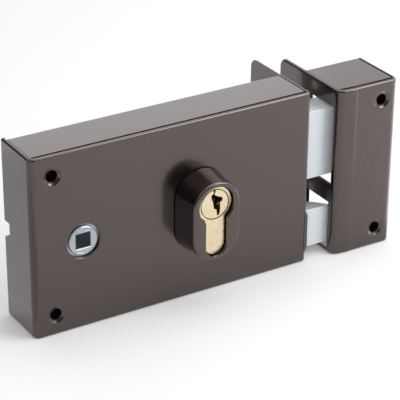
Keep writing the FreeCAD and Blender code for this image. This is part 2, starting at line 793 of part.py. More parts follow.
# Open retaining ring in the plug's groove
def plug_clip(outward):
    y = clip_place(outward)
    ring = tube_y(
        CLIP_WIDTH / 2, CLIP_GROOVE / 2 + RUNNING, 0, 0, y - CLIP_THICK / 2, y + CLIP_THICK / 2
    )
    half = CLIP_OPENING / 2
    return ring.cut(block(-half, half, y - 1, y + 1, 0, CLIP_WIDTH))


# Pins that ride in the plug, level with its skin as the right key holds them
def key_pins(pins):
    result = []
    radius = PIN / 2
    low = -math.sqrt((PLUG / 2) ** 2 - radius**2)
    for y in pins:
        shank = rod(radius, V(0, y, low), V(0, y, KEY_PIN_TOP - radius))
        nose = cone(V(0, y, KEY_PIN_TOP - radius), V(0, y, KEY_PIN_TOP - SLIDING),
                    radius, KEY_PIN_NOSE / 2)
        result.append(joined([shank, nose]))
    return group(result)


DRIVER_TOP = -PLUG / 2 - 2 * SLIDING
CAP_TOP = LEG_BOTTOM + 2 * SLIDING + CAP_LENGTH


def driver_pins(pins):
    return group([rod(PIN / 2, V(0, y, DRIVER_TOP - DRIVER_LENGTH), V(0, y, DRIVER_TOP))
                  for y in pins])


def pin_springs():
    low, high = CAP_TOP, DRIVER_TOP - DRIVER_LENGTH
    radius = PIN / 2 - PIN_SPRING_WIRE / 2 - SLIDING
    springs = []
    for y in INSIDE_PINS + OUTSIDE_PINS:
        springs.append(coil(radius, PIN_SPRING_WIRE / 2, PIN_SPRING_TURNS, high - low,
                            V(0, y, low), V(0, 0, 1)))
    return group(springs)


def pin_caps():
    return group([rod(PIN / 2, V(0, y, CAP_TOP - CAP_LENGTH), V(0, y, CAP_TOP))
                  for y in INSIDE_PINS + OUTSIDE_PINS])


# Cam: a ring on the plugs' tails with the bit that drives the deadbolt, at rest pointing down
def cylinder_cam():
    y0, y1 = CAM_Y - CAM_WIDTH / 2, CAM_Y + CAM_WIDTH / 2
    ring = rod_y(CAM_RING / 2, 0, 0, y0, y1)
    bit = block(-CAM_BIT / 2, CAM_BIT / 2, y0, y1, -CAM_REACH - 1, 0)
    bit = bit.common(rod_y(CAM_REACH, 0, 0, y0, y1))
    return joined([ring, bit]).cut(rod_y(CAM_BORE / 2, 0, 0, y0 - 1, y1 + 1))


def cam_coupler():
    half = CAM_WIDTH / 2 + AXIAL_PLAY - PLUG_TAIL_LENGTH
    return rod_y(PLUG_TAIL / 2, 0, 0, CAM_Y - half, CAM_Y + half - AXIAL_PLAY)


def cylinder_screw():
    tip = -CYL_LEG / 2
    face = FACE_X - CYL_SCREW_SUNK
    shank = rod_x(CYL_SCREW / 2, CAM_Y, CYL_SCREW_Z, tip, face)
    head = cone(V(face, CAM_Y, CYL_SCREW_Z), V(face - CYL_SCREW_SINK, CAM_Y, CYL_SCREW_Z),
                CYL_SCREW_HEAD / 2 - CYL_SCREW_SUNK, CYL_SCREW / 2)
    slot = block(face - SCREW_SLOT_DEPTH, face + 1, CAM_Y - SCREW_SLOT / 2, CAM_Y + SCREW_SLOT / 2,
                 CYL_SCREW_Z - CYL_SCREW_HEAD, CYL_SCREW_Z + CYL_SCREW_HEAD)
    return joined([shank, head]).cut(slot)


# Deadbolt head with the pocket for its tail plate
def deadbolt():
    head = block(
        DEADBOLT_REAR, DEADBOLT_TIP, DEADBOLT_Y0, DEADBOLT_Y1, DEADBOLT_BOTTOM, DEADBOLT_TOP
    )
    head = soften(head, lambda e: e.BoundBox.XMax > DEADBOLT_TIP - 0.01, BOLT_EDGE)
    pocket = block(
        DEADBOLT_REAR - 1, DEADBOLT_REAR + TAIL_IN_HEAD, TAIL_Y0, TAIL_Y1 + 1,
        TAIL_BOTTOM, DEADBOLT_TOP + 1,
    )
    holes = [rivet_shank(x, z, THREAD_PLAY) for x, z in TAIL_RIVETS]
    return head.cut(group([pocket])).cut(group(holes))


TAIL_RIVETS = [
    (DEADBOLT_REAR + TAIL_IN_HEAD / 2, TAIL_BOTTOM + TAIL_RIVET_INSET),
    (DEADBOLT_REAR + TAIL_IN_HEAD / 2, DEADBOLT_TOP - TAIL_RIVET_INSET),
]


def rivet_shank(x, z, extra):
    return rod_y(TAIL_RIVET / 2 + extra, x, z, TAIL_Y0 - TAIL_RIVET_DEPTH, TAIL_Y1)


def tail_rivets():
    rivets = []
    for x, z in TAIL_RIVETS:
        head = rod_y(TAIL_RIVET / 2 + RIVET_LIP, x, z, TAIL_Y1, TAIL_Y1 + RIVET_HEAD_THICK)
        rivets.append(joined([rivet_shank(x, z, 0), head]))
    return group(rivets)


# How far left and right of the bolt's own rest place the turning bit reaches above the tail's
# lower edge, with the bolt moving back by one throw in one turn
def bit_reach_in_tail():
    reach = []
    steps = 360
    corner = math.asin(CAM_BIT / 2 / CAM_REACH)
    for i in range(steps + 1):
        turn = 2 * math.pi * i / steps
        moved = DEADBOLT_THROW * i / steps
        for offset in (-corner, 0, corner):
            x = CAM_REACH * math.sin(turn + offset)
            z = -CAM_REACH * math.cos(turn + offset)
            if z > TAIL_BOTTOM - 1:
                reach.append(x + moved)
    return min(reach), max(reach)


# Tail plate: bit notch below, guide slot, and detent notches in its top edge
def deadbolt_tail():
    plate = block(
        TAIL_END, DEADBOLT_REAR + TAIL_IN_HEAD, TAIL_Y0, TAIL_Y1, TAIL_BOTTOM, TAIL_TOP
    )
    low, high = bit_reach_in_tail()
    notch = block(
        low - BIT_PLAY_SIDE, high + BIT_PLAY_SIDE, TAIL_Y0 - 1, TAIL_Y1 + 1,
        TAIL_BOTTOM - 1, CAM_REACH + BIT_PLAY_TOP,
    )
    half = GUIDE_STUD / 2 + SLIDING
    slot_end = GUIDE_STUD_X + DEADBOLT_THROW
    slot = joined([
        block(GUIDE_STUD_X, slot_end, TAIL_Y0 - 1, TAIL_Y1 + 1,
              GUIDE_STUD_Z - half, GUIDE_STUD_Z + half),
        rod_y(half, GUIDE_STUD_X, GUIDE_STUD_Z, TAIL_Y0 - 1, TAIL_Y1 + 1),
        rod_y(half, slot_end, GUIDE_STUD_Z, TAIL_Y0 - 1, TAIL_Y1 + 1),
    ])
    cuts = [notch, slot]
    for x in (DETENT_X, DETENT_X + DEADBOLT_THROW):
        points = [
            (x - DETENT_DEPTH - 1, TAIL_TOP + 1), (x, TAIL_TOP - DETENT_DEPTH),
            (x + DETENT_DEPTH + 1, TAIL_TOP + 1),
        ]
        cuts.append(prism(points, on_xz(TAIL_Y0 - 1), V(0, TAIL_THICK + 2, 0)))
    for x, z in TAIL_RIVETS:
        cuts.append(rivet_shank(x, z, THREAD_PLAY))
    above = block(DEADBOLT_REAR, FACE_X, TAIL_Y0 - 1, TAIL_Y1 + 1, DEADBOLT_TOP, TAIL_TOP + 1)
    cuts.append(above)
    return plate.cut(group(cuts))


# Stud that guides the tail, with a neck that ends in a riveted washer
def deadbolt_post():
    neck_end = TAIL_Y0 - SLIDING - GUIDE_WASHER_THICK
    base = rod_y(GUIDE_STUD_BASE / 2, GUIDE_STUD_X, GUIDE_STUD_Z, TAIL_Y1 + SLIDING, BACK_IN_Y)
    neck = rod_y(GUIDE_STUD / 2, GUIDE_STUD_X, GUIDE_STUD_Z, neck_end, TAIL_Y1 + 1)
    head = rod_y(GUIDE_STUD / 2 + RIVET_LIP, GUIDE_STUD_X, GUIDE_STUD_Z,
                 neck_end - RIVET_HEAD_THICK, neck_end)
    return joined([base, neck, head])


def deadbolt_washer():
    y1 = TAIL_Y0 - SLIDING
    return tube_y(
        GUIDE_WASHER / 2, GUIDE_STUD / 2 + THREAD_PLAY, GUIDE_STUD_X, GUIDE_STUD_Z,
        y1 - GUIDE_WASHER_THICK, y1,
    )


# Leaf spring whose nib drops into the tail's notches
def detent_spring():
    z = DETENT_LEAF_Z
    nib = TAIL_TOP - DETENT_DEPTH + DETENT_NIB_UP
    run = (z - nib) * DETENT_SLOPE
    path = [
        (DETENT_BLOCK_X, z), (DETENT_X - run, z), (DETENT_X, nib),
        (DETENT_X + run, z), (DETENT_X + run + DETENT_END, z),
    ]
    return bent_sheet(
        path, [DETENT_BEND] * 3, DETENT_LEAF, on_xz(TAIL_Y0 + DETENT_EDGE),
        V(0, TAIL_THICK - 2 * DETENT_EDGE, 0),
    )


def detent_block():
    return block(
        DETENT_BLOCK_X, DETENT_BLOCK_X + DETENT_BLOCK_LENGTH, TAIL_Y0 + DETENT_EDGE, BACK_IN_Y,
        DETENT_LEAF_Z - DETENT_BLOCK_HEIGHT, DETENT_LEAF_Z,
    )


# Latch head: bevelled on the door's side, with a pocket for its bar
def latch_bolt():
    nose = LATCH_Y0 + LATCH_NOSE
    bevel_start = LATCH_TIP - (LATCH_Y1 - nose)
    points = [
        (LATCH_REAR, LATCH_Y0), (LATCH_TIP, LATCH_Y0), (LATCH_TIP, nose),
        (bevel_start, LATCH_Y1), (LATCH_REAR, LATCH_Y1),
    ]
    head = prism(points, on_xy(LATCH_BOTTOM), V(0, 0, LATCH_HEIGHT))
    half = LATCH_BAR / 2 + THREAD_PLAY
    pocket = block(
        LATCH_REAR - 1, LATCH_REAR + LATCH_BAR_IN_HEAD,
        LATCH_MID_Y - half, LATCH_MID_Y + half, LATCH_BAR_Z - half, LATCH_BAR_Z + half,
    )
    return head.cut(pocket).cut(latch_pin_shape(THREAD_PLAY))


def latch_pin_shape(extra):
    x = LATCH_REAR + LATCH_BAR_IN_HEAD / 2
    return rod(
        LATCH_PIN / 2 + extra, V(x, LATCH_MID_Y, LATCH_BOTTOM + LATCH_PIN_END),
        V(x, LATCH_MID_Y, LATCH_TOP),
    )


# Bar from the latch head, under the cylinder, to the lug beside the follower's arm
def latch_tail():
    half = LATCH_BAR / 2
    bar = block(
        LUG_FACE - LUG_THICK, LATCH_REAR + LATCH_BAR_IN_HEAD - THREAD_PLAY,
        LATCH_MID_Y - half, LATCH_MID_Y + half, LATCH_BAR_Z - half, LATCH_BAR_Z + half,
    )
    lug = block(
        LUG_FACE - LUG_THICK, LUG_FACE, LATCH_MID_Y - half, LATCH_MID_Y + half,
        LATCH_BAR_Z - half, LUG_TOP,
    )
    return joined([bar, lug]).cut(latch_pin_shape(THREAD_PLAY))


def latch_spring():
    radius = LATCH_SPRING_WIDTH / 2 - LATCH_WIRE / 2
    return coil(
        radius, LATCH_WIRE / 2, LATCH_SPRING_TURNS, LATCH_REAR - GUIDE_FRONT_X,
        V(GUIDE_FRONT_X, LATCH_MID_Y, LATCH_BAR_Z), V(1, 0, 0),
    )


# Bent bracket on the back wall with the square hole in which the bar slides
def latch_guide(x, foot_side):
    y0 = BACK_IN_Y - GUIDE_REACH
    z0, z1 = LATCH_BAR_Z - GUIDE_HEIGHT / 2, LATCH_BAR_Z + GUIDE_HEIGHT / 2
    path = [(x, y0), (x, BACK_IN_Y), (x + foot_side * GUIDE_FOOT_LENGTH, BACK_IN_Y)]
    if foot_side > 0:
        path.reverse()
    bracket = bent_sheet(path, [BEND_INSIDE], GUIDE_THICK, on_xy(z0), V(0, 0, z1 - z0))
    half = LATCH_BAR / 2 + SLIDING
    hole = block(
        x - 2 * GUIDE_THICK, x + 2 * GUIDE_THICK, LATCH_MID_Y - half, LATCH_MID_Y + half,
        LATCH_BAR_Z - half, LATCH_BAR_Z + half,
    )
    cuts = [hole]
    for rivet_x, rivet_z in guide_rivet_places(x, foot_side):
        cuts.append(rod_y(GUIDE_RIVET / 2 + THREAD_PLAY, rivet_x, rivet_z,
                          BACK_IN_Y - GUIDE_THICK - 1, BACK_IN_Y + 1))
    return bracket.cut(group(cuts))


def guide_rivet_places(x, foot_side):
    rivet_x = x + foot_side * (GUIDE_FOOT_LENGTH - GUIDE_RIVET_INSET)
    return [(rivet_x, LATCH_BAR_Z + side * GUIDE_RIVET_SPACING / 2) for side in (-1, 1)]


GUIDES = ((GUIDE_FRONT_X, -1), (GUIDE_REAR_X, 1))


def guide_rivets():
    rivets = []
    for x, side in GUIDES:
        for rivet_x, rivet_z in guide_rivet_places(x, side):
            y1 = BACK_IN_Y - GUIDE_THICK
            shank = rod_y(GUIDE_RIVET / 2, rivet_x, rivet_z, y1, BACK_IN_Y)
            head = rod_y(GUIDE_RIVET / 2 + RIVET_LIP, rivet_x, rivet_z, y1 - RIVET_HEAD_THICK, y1)
            rivets.append(joined([shank, head]))
    return group(rivets)


# Follower: barrel, two collars, the square hole and the arm that pulls the latch
def follower():
    barrel_y0 = COVER_IN_Y + AXIAL_PLAY
    barrel_y1 = BACK_IN_Y - BUSH_FLANGE_THICK - AXIAL_PLAY
    x, z = FOLLOWER_X, FOLLOWER_Z
    barrel = rod_y(BARREL_WIDTH / 2, x, z, barrel_y0, barrel_y1)
    collar_y = FRONT_Y + COLLAR_SUNK
    collar = rod_y(COLLAR / 2, x, z, collar_y, -AXIAL_PLAY)
    collar = soften(collar, lambda e: abs(e.BoundBox.YMax - collar_y) < 0.01
                    and abs(e.BoundBox.YMin - collar_y) < 0.01, EDGE_ROUND)
    half = ARM_WIDTH / 2
    arm = block(x - half, x + half, LATCH_MID_Y - ARM_THICK / 2, LATCH_MID_Y + ARM_THICK / 2,
                z - ARM_REACH, z)
    square = SPINDLE_SQUARE / 2
    hole = block(x - square, x + square, FRONT_Y - 1, 1, z - square, z + square)
    return joined([barrel, collar, arm]).cut(hole)


def follower_bush():
    flange_y = BACK_IN_Y - BUSH_FLANGE_THICK
    sleeve = rod_y(BUSH_WIDTH / 2, FOLLOWER_X, FOLLOWER_Z, flange_y, 0)
    flange = rod_y(BUSH_FLANGE / 2, FOLLOWER_X, FOLLOWER_Z, flange_y, BACK_IN_Y)
    bore = rod_y(COLLAR / 2 + RUNNING, FOLLOWER_X, FOLLOWER_Z, flange_y - 1, 1)
    return joined([sleeve, flange]).cut(bore)


def follower_stop():
    x = FOLLOWER_X + ARM_WIDTH / 2 + 2 * SLIDING + STOP_WIDTH / 2
    z = FOLLOWER_Z - ARM_REACH + STOP_UP
    return rod_y(STOP_WIDTH / 2, x, z, LATCH_MID_Y - ARM_THICK / 2, BACK_IN_Y)


# Keeper cover: bolt plate, front with its soft crease, and right flange
def keeper_cover():
    front = -KEEPER_DEPTH
    path = [
        (KEEPER_X0, KEEPER_TAIL), (KEEPER_X0, front + KEEPER_SLOPE),
        (KEEPER_X0 + KEEPER_CREASE, front), (KEEPER_X1, front), (KEEPER_X1, 0),
    ]
    radii = [KEEPER_BEND_INSIDE, KEEPER_CREASE_ROUND, BEND_INSIDE]
    cover = bent_sheet(path, radii, SHEET, on_xy(BOTTOM_Z), V(0, 0, KEEPER_HEIGHT))
    cover = soften(cover, outer_rim_of_keeper, EDGE_ROUND)
    cover = round_plate_corners(
        cover, KEEPER_X0, KEEPER_X0 + SHEET, KEEPER_TAIL, BOTTOM_Z, KEEPER_TOP, KEEPER_CORNER
    )
    y0, y1 = front + OPENING_FRONT, -OPENING_BACK
    cuts = []
    for low, high in (
        (DEADBOLT_OPENING_BOTTOM, DEADBOLT_OPENING_TOP),
        (LATCH_OPENING_BOTTOM, LATCH_OPENING_TOP),
    ):
        cuts.append(block(KEEPER_X0 - 1, KEEPER_X0 + SHEET + SEAM, y0, y1,
                          BOTTOM_Z + low, BOTTOM_Z + high))
    for z in (KEEPER_HOLE_TOP, KEEPER_HOLE_BOTTOM):
        cuts.append(dimpled_hole(KEEPER_HOLE_X, z, front))
    for up in (KEEPER_EDGE_HOLE_UP, KEEPER_EDGE_HOLE_DOWN):
        cuts.append(countersunk_x(KEEPER_EDGE_Y, BOTTOM_Z + up, KEEPER_X0, -1,
                                  EDGE_SCREW_HOLE, EDGE_SCREW_HEAD, EDGE_SINK))
    for y, z in KEEPER_RIVETS:
        cuts.append(rod_x(KEEPER_RIVET / 2 + THREAD_PLAY, y, z, KEEPER_X1 - 3, KEEPER_X1 + 1))
    return cover.cut(group(cuts))


def outer_rim_of_keeper(edge):
    box = edge.BoundBox
    level = abs(box.ZMin - box.ZMax) < 0.01
    rim = abs(box.ZMin - KEEPER_TOP) < 0.01 or abs(box.ZMin - BOTTOM_Z) < 0.01
    front = box.YMax < -KEEPER_DEPTH + SHEET - 0.2 or box.YMin < -KEEPER_DEPTH + 0.01
    left = box.XMax < KEEPER_X0 + 0.01
    right = box.XMin > KEEPER_X1 - 0.01
    return level and rim and (front or left or right)


KEEPER_RIVETS = [(-KEEPER_DEPTH / 2, BOTTOM_Z + KEEPER_HEIGHT * share) for share in (0.3, 0.7)]


# Keeper insert: top, right web and bottom, set inside the cover; its back is open
def keeper_insert():
    left = KEEPER_X0 + SHEET + SEAM
    right = KEEPER_X1 - SHEET
    top = KEEPER_TOP - FLAP_DROP
    bottom = BOTTOM_Z + FLAP_DROP
    y0 = -KEEPER_DEPTH + SHEET + FRONT_SEAM
    path = [(left, bottom), (right, bottom), (right, top), (left, top)]
    insert = bent_sheet(path, [BEND_INSIDE] * 2, SHEET, on_xz(y0), V(0, -y0, 0))
    sloped = prism(
        [
            (KEEPER_X0, y0 - 1), (KEEPER_X0 + KEEPER_CREASE + 1, y0 - 1),
            (KEEPER_X0 + KEEPER_CREASE + 1, y0), (KEEPER_X0, y0 + KEEPER_SLOPE),
        ],
        on_xy(BOTTOM_Z - 1), V(0, 0, KEEPER_HEIGHT + 2),
    )
    inside_bend = block(
        right - BEND_INSIDE, right + 1, y0 - 1, -KEEPER_DEPTH + BEND_OUTSIDE + RUNNING,
        BOTTOM_Z - 1, KEEPER_TOP + 1,
    )
    cuts = [sloped, inside_bend]
    for y, z in KEEPER_RIVETS:
        cuts.append(rod_x(KEEPER_RIVET / 2 + THREAD_PLAY, y, z, right - SHEET - 1, right + 1))
    return insert.cut(group(cuts))


def keeper_rivets():
    rivets = []
    for y, z in KEEPER_RIVETS:
        inner = KEEPER_X1 - 2 * SHEET
        end = inner - RIVET_HEAD_THICK
        shank = rod_x(KEEPER_RIVET / 2, y, z, end, KEEPER_X1)
        head = rod_x(KEEPER_RIVET / 2 + RIVET_LIP, y, z, end, inner)
        rivets.append(joined([shank, head]))
    return group(rivets)


save("case_cover", case_cover())
save("case_back", case_back())
save("cover_posts", cover_posts())
save("back_screws", back_screws())
save("fixing_tubes", fixing_tubes(HOLE_X, (HOLE_TOP_Z, HOLE_BOTTOM_Z), COVER_IN_Y, BACK_IN_Y))
save("cylinder_guard", cylinder_guard())
save("guard_screws", guard_screws())
save("cylinder_body", cylinder_body())
save("cylinder_screw", cylinder_screw())
save("inside_plug", plug(CYL_FRONT_Y, -1, INSIDE_PINS))
save("outside_plug", plug(CYL_BACK_Y, 1, OUTSIDE_PINS))
save("inside_plug_clip", plug_clip(-1))
save("outside_plug_clip", plug_clip(1))
save("inside_key_pins", key_pins(INSIDE_PINS))
save("outside_key_pins", key_pins(OUTSIDE_PINS))
save("inside_driver_pins", driver_pins(INSIDE_PINS))
save("outside_driver_pins", driver_pins(OUTSIDE_PINS))
save("pin_springs", pin_springs())
save("pin_caps", pin_caps())
save("cylinder_cam", cylinder_cam())
save("cam_coupler", cam_coupler())
save("deadbolt", deadbolt())
save("deadbolt_tail", deadbolt_tail())
save("tail_rivets", tail_rivets())
save("deadbolt_post", deadbolt_post())
save("deadbolt_washer", deadbolt_washer())
save("detent_spring", detent_spring())
save("detent_block", detent_block())
save("latch_bolt", latch_bolt())
save("latch_tail", latch_tail())
save("latch_pin", latch_pin_shape(0))
save("latch_spring", latch_spring())
save("latch_guide_front", latch_guide(GUIDE_FRONT_X, -1))
save("latch_guide_rear", latch_guide(GUIDE_REAR_X, 1))
save("guide_rivets", guide_rivets())
save("follower", follower())
save("follower_bush", follower_bush())
save("follower_stop", follower_stop())
save("keeper_cover", keeper_cover())
save("keeper_insert", keeper_insert())
save("keeper_tubes", fixing_tubes(KEEPER_HOLE_X, (KEEPER_HOLE_TOP, KEEPER_HOLE_BOTTOM),
                                  -KEEPER_DEPTH + SHEET, 0))
save("keeper_rivets", keeper_rivets())
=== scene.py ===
# %% [markdown]
# # A surface-mounted door lock and its keeper
# The lock is a flat case of bent steel sheet with a brown metallic powder coat. A deadbolt and a
# sprung latch leave it on the right and reach into the keeper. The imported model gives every
# working piece at its real size, so each step here takes its measures from that frame, models the
# pieces that show again with softer edges and thinner details, and paints all of them.

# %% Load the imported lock
import json
import math
from collections import Counter

import bpy
from mathutils import Matrix, Vector


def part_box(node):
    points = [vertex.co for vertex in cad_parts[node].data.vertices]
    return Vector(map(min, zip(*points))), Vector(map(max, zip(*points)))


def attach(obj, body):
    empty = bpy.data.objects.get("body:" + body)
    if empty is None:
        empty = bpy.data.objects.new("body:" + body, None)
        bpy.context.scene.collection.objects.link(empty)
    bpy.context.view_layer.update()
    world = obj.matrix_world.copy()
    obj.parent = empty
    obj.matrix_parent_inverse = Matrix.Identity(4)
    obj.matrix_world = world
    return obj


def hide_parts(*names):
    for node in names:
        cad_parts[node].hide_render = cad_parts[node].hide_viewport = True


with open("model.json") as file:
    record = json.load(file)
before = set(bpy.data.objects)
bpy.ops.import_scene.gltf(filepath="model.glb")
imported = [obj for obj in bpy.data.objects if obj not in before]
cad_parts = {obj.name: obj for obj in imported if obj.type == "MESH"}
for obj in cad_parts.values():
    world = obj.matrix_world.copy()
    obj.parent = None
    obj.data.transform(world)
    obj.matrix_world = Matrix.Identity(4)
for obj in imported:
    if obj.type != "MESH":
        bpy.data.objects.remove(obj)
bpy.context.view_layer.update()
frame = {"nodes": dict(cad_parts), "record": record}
MM = 0.001
mounts = {mount["name"]: mount for mount in frame["record"]["mounts"]}

# %% [markdown]
# Almost every measure can be read from the frame. The case's cover gives the front, the left side,
# the top and the bottom. Its right-hand end is the small bulge round the latch, so the faceplate
# lies that much further in. The sheet's thickness and its bends are stated.

# %% Measures of the case
case_low, case_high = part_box("case_cover")
FRONT = case_low.y
LEFT = case_low.x
BOTTOM = case_low.z
TOP = case_high.z
TAIL = case_high.y
BULGE_PROUD = 0.8 * MM
FACE = case_high.x - BULGE_PROUD
SHEET = 1.5 * MM
BEND = 3.2 * MM
FACE_BEND = 2.0 * MM
print(f"case {(FACE - LEFT) / MM:.1f} wide, {(TOP - BOTTOM) / MM:.1f} high, {-FRONT / MM:.1f} deep")

# %% [markdown]
# ## Camera
# A photograph of a lock is taken from some distance with a long lens, so that its edges stay nearly
# parallel. The camera stands to the left of the front and looks down on it. Its three directions
# are worked out from the yaw, the pitch and a very small roll, and they become the columns of its
# matrix.

# %% Camera
CAMERA_PLACE = Vector((-0.37427, -0.63535, 0.35767))
CAMERA_YAW = math.radians(31.560)
CAMERA_PITCH = math.radians(26.785)
CAMERA_ROLL = math.radians(0.462)
CAMERA_LENS = 163.07


def add_camera():
    level = Vector((math.sin(CAMERA_YAW), math.cos(CAMERA_YAW), 0))
    ahead = level * math.cos(CAMERA_PITCH) - Vector((0, 0, math.sin(CAMERA_PITCH)))
    right = Vector((math.cos(CAMERA_YAW), -math.sin(CAMERA_YAW), 0))
    up = right.cross(ahead)
    side = right * math.cos(CAMERA_ROLL) + up * math.sin(CAMERA_ROLL)
    head = up * math.cos(CAMERA_ROLL) - right * math.sin(CAMERA_ROLL)
    camera = bpy.data.objects.new("camera", bpy.data.cameras.new("camera"))
    bpy.context.scene.collection.objects.link(camera)
    camera.data.lens = CAMERA_LENS
    directions = Matrix((side, head, -ahead)).transposed().to_4x4()
    camera.matrix_world = Matrix.Translation(CAMERA_PLACE) @ directions
    bpy.context.scene.camera = camera
    return camera


camera = add_camera()
bpy.context.scene.view_settings.view_transform = "Standard"
print("camera distance", round(camera.location.length, 3), "m")

# %% [markdown]
# ## Floor, backdrop and light
# The lock stands on a white table in a white surround. The floor is an ordinary pale surface that
# takes the object's shadow, and rays from the camera and from glossy surfaces see it a little
# brighter, up to white. The world is white in the same way.

# %% Floor and world
FLOOR_SIZE = 6.0
FLOOR_COLOUR = (0.86, 0.86, 0.86, 1)
FLOOR_ROUGHNESS = 0.9
FLOOR_GLOW = 0.08
WORLD_SEEN = 1.0
WORLD_LIGHT = 0.40


def set_inputs(node, values):
    for name, value in values.items():
        node.inputs[name].default_value = value


def seen_directly(nodes, links):
    """1 for rays from the camera, from a glossy surface or through glass, otherwise 0"""
    path = nodes.new("ShaderNodeLightPath")
    seen = path.outputs["Is Camera Ray"]
    for ray in ("Is Glossy Ray", "Is Transmission Ray"):
        either = nodes.new("ShaderNodeMath")
        either.operation = "MAXIMUM"
        links.new(seen, either.inputs[0])
        links.new(path.outputs[ray], either.inputs[1])
        seen = either.outputs[0]
    return seen


def add_floor():
    bpy.ops.object.select_all(action="DESELECT")
    bpy.ops.mesh.primitive_plane_add(size=FLOOR_SIZE, location=(0, 0, BOTTOM))
    floor = bpy.context.object
    floor.name = "floor"
    material = bpy.data.materials.new("floor")
    material.use_nodes = True
    nodes, links = material.node_tree.nodes, material.node_tree.links
    shader = nodes["Principled BSDF"]
    set_inputs(shader, {"Base Color": FLOOR_COLOUR, "Roughness": FLOOR_ROUGHNESS,
                        "Emission Color": (1, 1, 1, 1)})
    glow = nodes.new("ShaderNodeMath")
    glow.operation = "MULTIPLY"
    glow.inputs[1].default_value = FLOOR_GLOW
    links.new(seen_directly(nodes, links), glow.inputs[0])
    links.new(glow.outputs[0], shader.inputs["Emission Strength"])
    floor.data.materials.append(material)


def light_the_world():
    world = bpy.data.worlds.new("surround")
    bpy.context.scene.world = world
    world.use_nodes = True
    nodes, links = world.node_tree.nodes, world.node_tree.links
    strength = nodes.new("ShaderNodeMapRange")
    set_inputs(strength, {"To Min": WORLD_LIGHT, "To Max": WORLD_SEEN})
    links.new(seen_directly(nodes, links), strength.inputs["Value"])
    set_inputs(nodes["Background"], {"Color": (1, 1, 1, 1)})
    links.new(strength.outputs[0], nodes["Background"].inputs["Strength"])


add_floor()
light_the_world()
print("floor at", round(BOTTOM / MM, 1), "mm")

# %% [markdown]
# Painted steel and metal mostly show what is round them, so the lamps are broad panels. Each is
# given by its place, its width and height, and how bright it looks, and its power follows from its
# size. Two stand on the right, a weak one on the left fills in, one hangs overhead, and a wide one
# behind brightens all that looks up. Three grey cards, given by place, width and height, keep the
# left and the front darker, so that bends and edges stand out. Two more lie on the floor, and each
# of them also has a turn in degrees and a glow: a pale one brightens the keeper's crease, and a dim
# one darkens the left side towards its foot. Only glossy surfaces see the cards.

# %% Lamps and cards
PANELS = {
    "key": ((0.50, -0.44, 0.50), 0.50, 0.50, 5.0),
    "overhead": ((0.20, 0.10, 1.00), 0.80, 0.80, 1.7),
    "behind": ((0.12, 1.20, 0.70), 1.55, 1.10, 0.45),
    "right": ((0.90, 0.10, 0.35), 0.70, 0.50, 1.5),
    "fill": ((-0.60, -0.70, 0.45), 0.40, 0.40, 4.0),
}
CARDS = {
    "front_card": ((-0.10, -0.62, 0.18), 0.60, 0.45),
    "left_front_card": ((-0.50, -0.38, 0.20), 0.75, 0.50),
    "left_rear_card": ((-0.42, 0.55, 0.20), 0.80, 0.50),
}
CARD_GREY = 0.06
FLOOR_CARD_Z = BOTTOM + 2 * MM
FLOOR_CARDS = {
    "pale_card": ((0.327, -0.054, FLOOR_CARD_Z), -48, 0.31, 0.30, 2.0),
    "dim_card": ((-0.160, 0.020, FLOOR_CARD_Z), 0, 0.14, 0.26, 0.65),
}


def towards_lock(place):
    """The turn that makes a panel or card at this place face the lock"""
    return (-Vector(place)).to_track_quat("-Z", "Y").to_euler()


def add_panel(name, place, width, height, brightness):
    panel = bpy.data.objects.new(name, bpy.data.lights.new(name, "AREA"))
    panel.data.shape = "RECTANGLE"
    panel.data.size = width
    panel.data.size_y = height
    panel.data.energy = brightness * math.pi * width * height
    panel.location = place
    panel.rotation_euler = towards_lock(place)
    bpy.context.scene.collection.objects.link(panel)


def add_card(name, place, rotation, width, height, grey, glow):
    bpy.ops.object.select_all(action="DESELECT")
    bpy.ops.mesh.primitive_plane_add(size=1, location=place, rotation=rotation)
    card = bpy.context.object
    card.name = name
    card.scale = (width, height, 1)
    card.visible_camera = card.visible_diffuse = card.visible_shadow = False
    material = bpy.data.materials.new(name)
    material.use_nodes = True
    set_inputs(material.node_tree.nodes["Principled BSDF"], {
        "Base Color": (grey, grey, grey, 1), "Emission Color": (1, 1, 1, 1), "Emission Strength": glow})
    card.data.materials.append(material)


for name, settings in PANELS.items():
    add_panel(name, *settings)
for name, (place, width, height) in CARDS.items():
    add_card(name, place, towards_lock(place), width, height, CARD_GREY, 0)
for name, (place, turn, width, height, glow) in FLOOR_CARDS.items():
    add_card(name, place, (0, 0, math.radians(turn)), width, height, 0, glow)
print("panels:", ", ".join(PANELS), "and cards:", ", ".join([*CARDS, *FLOOR_CARDS]))

# %% [markdown]
# ## Materials
# All patterns read Object coordinates. Every finished piece lies at the origin, so those are real
# metres, and a pattern can be given its real size. A pattern runs from 0 to 1 but mostly stays near
# its middle, so that part of its range is what carries one colour or roughness over to the next.

# %% Material helpers
MIDDLE = (0.3, 0.7)


def new_material(name):
    material = bpy.data.materials.new(name)
    material.use_nodes = True
    nodes, links = material.node_tree.nodes, material.node_tree.links
    return material, nodes, links, nodes["Principled BSDF"]


def object_place(nodes, links, scale=(1, 1, 1), centre=(0, 0, 0)):
    """Object coordinates, counted from a centre and stretched by a scale"""
    coordinates = nodes.new("ShaderNodeTexCoord")
    mapping = nodes.new("ShaderNodeMapping")
    set_inputs(mapping, {"Location": [-c * s for c, s in zip(centre, scale)], "Scale": scale})
    links.new(coordinates.outputs["Object"], mapping.inputs["Vector"])
    return mapping.outputs["Vector"]


def noise(nodes, links, place, scale, detail=2.0, roughness=0.5):
    texture = nodes.new("ShaderNodeTexNoise")
    set_inputs(texture, {"Scale": scale, "Detail": detail, "Roughness": roughness})
    links.new(place, texture.inputs["Vector"])
    return texture.outputs["Fac"]


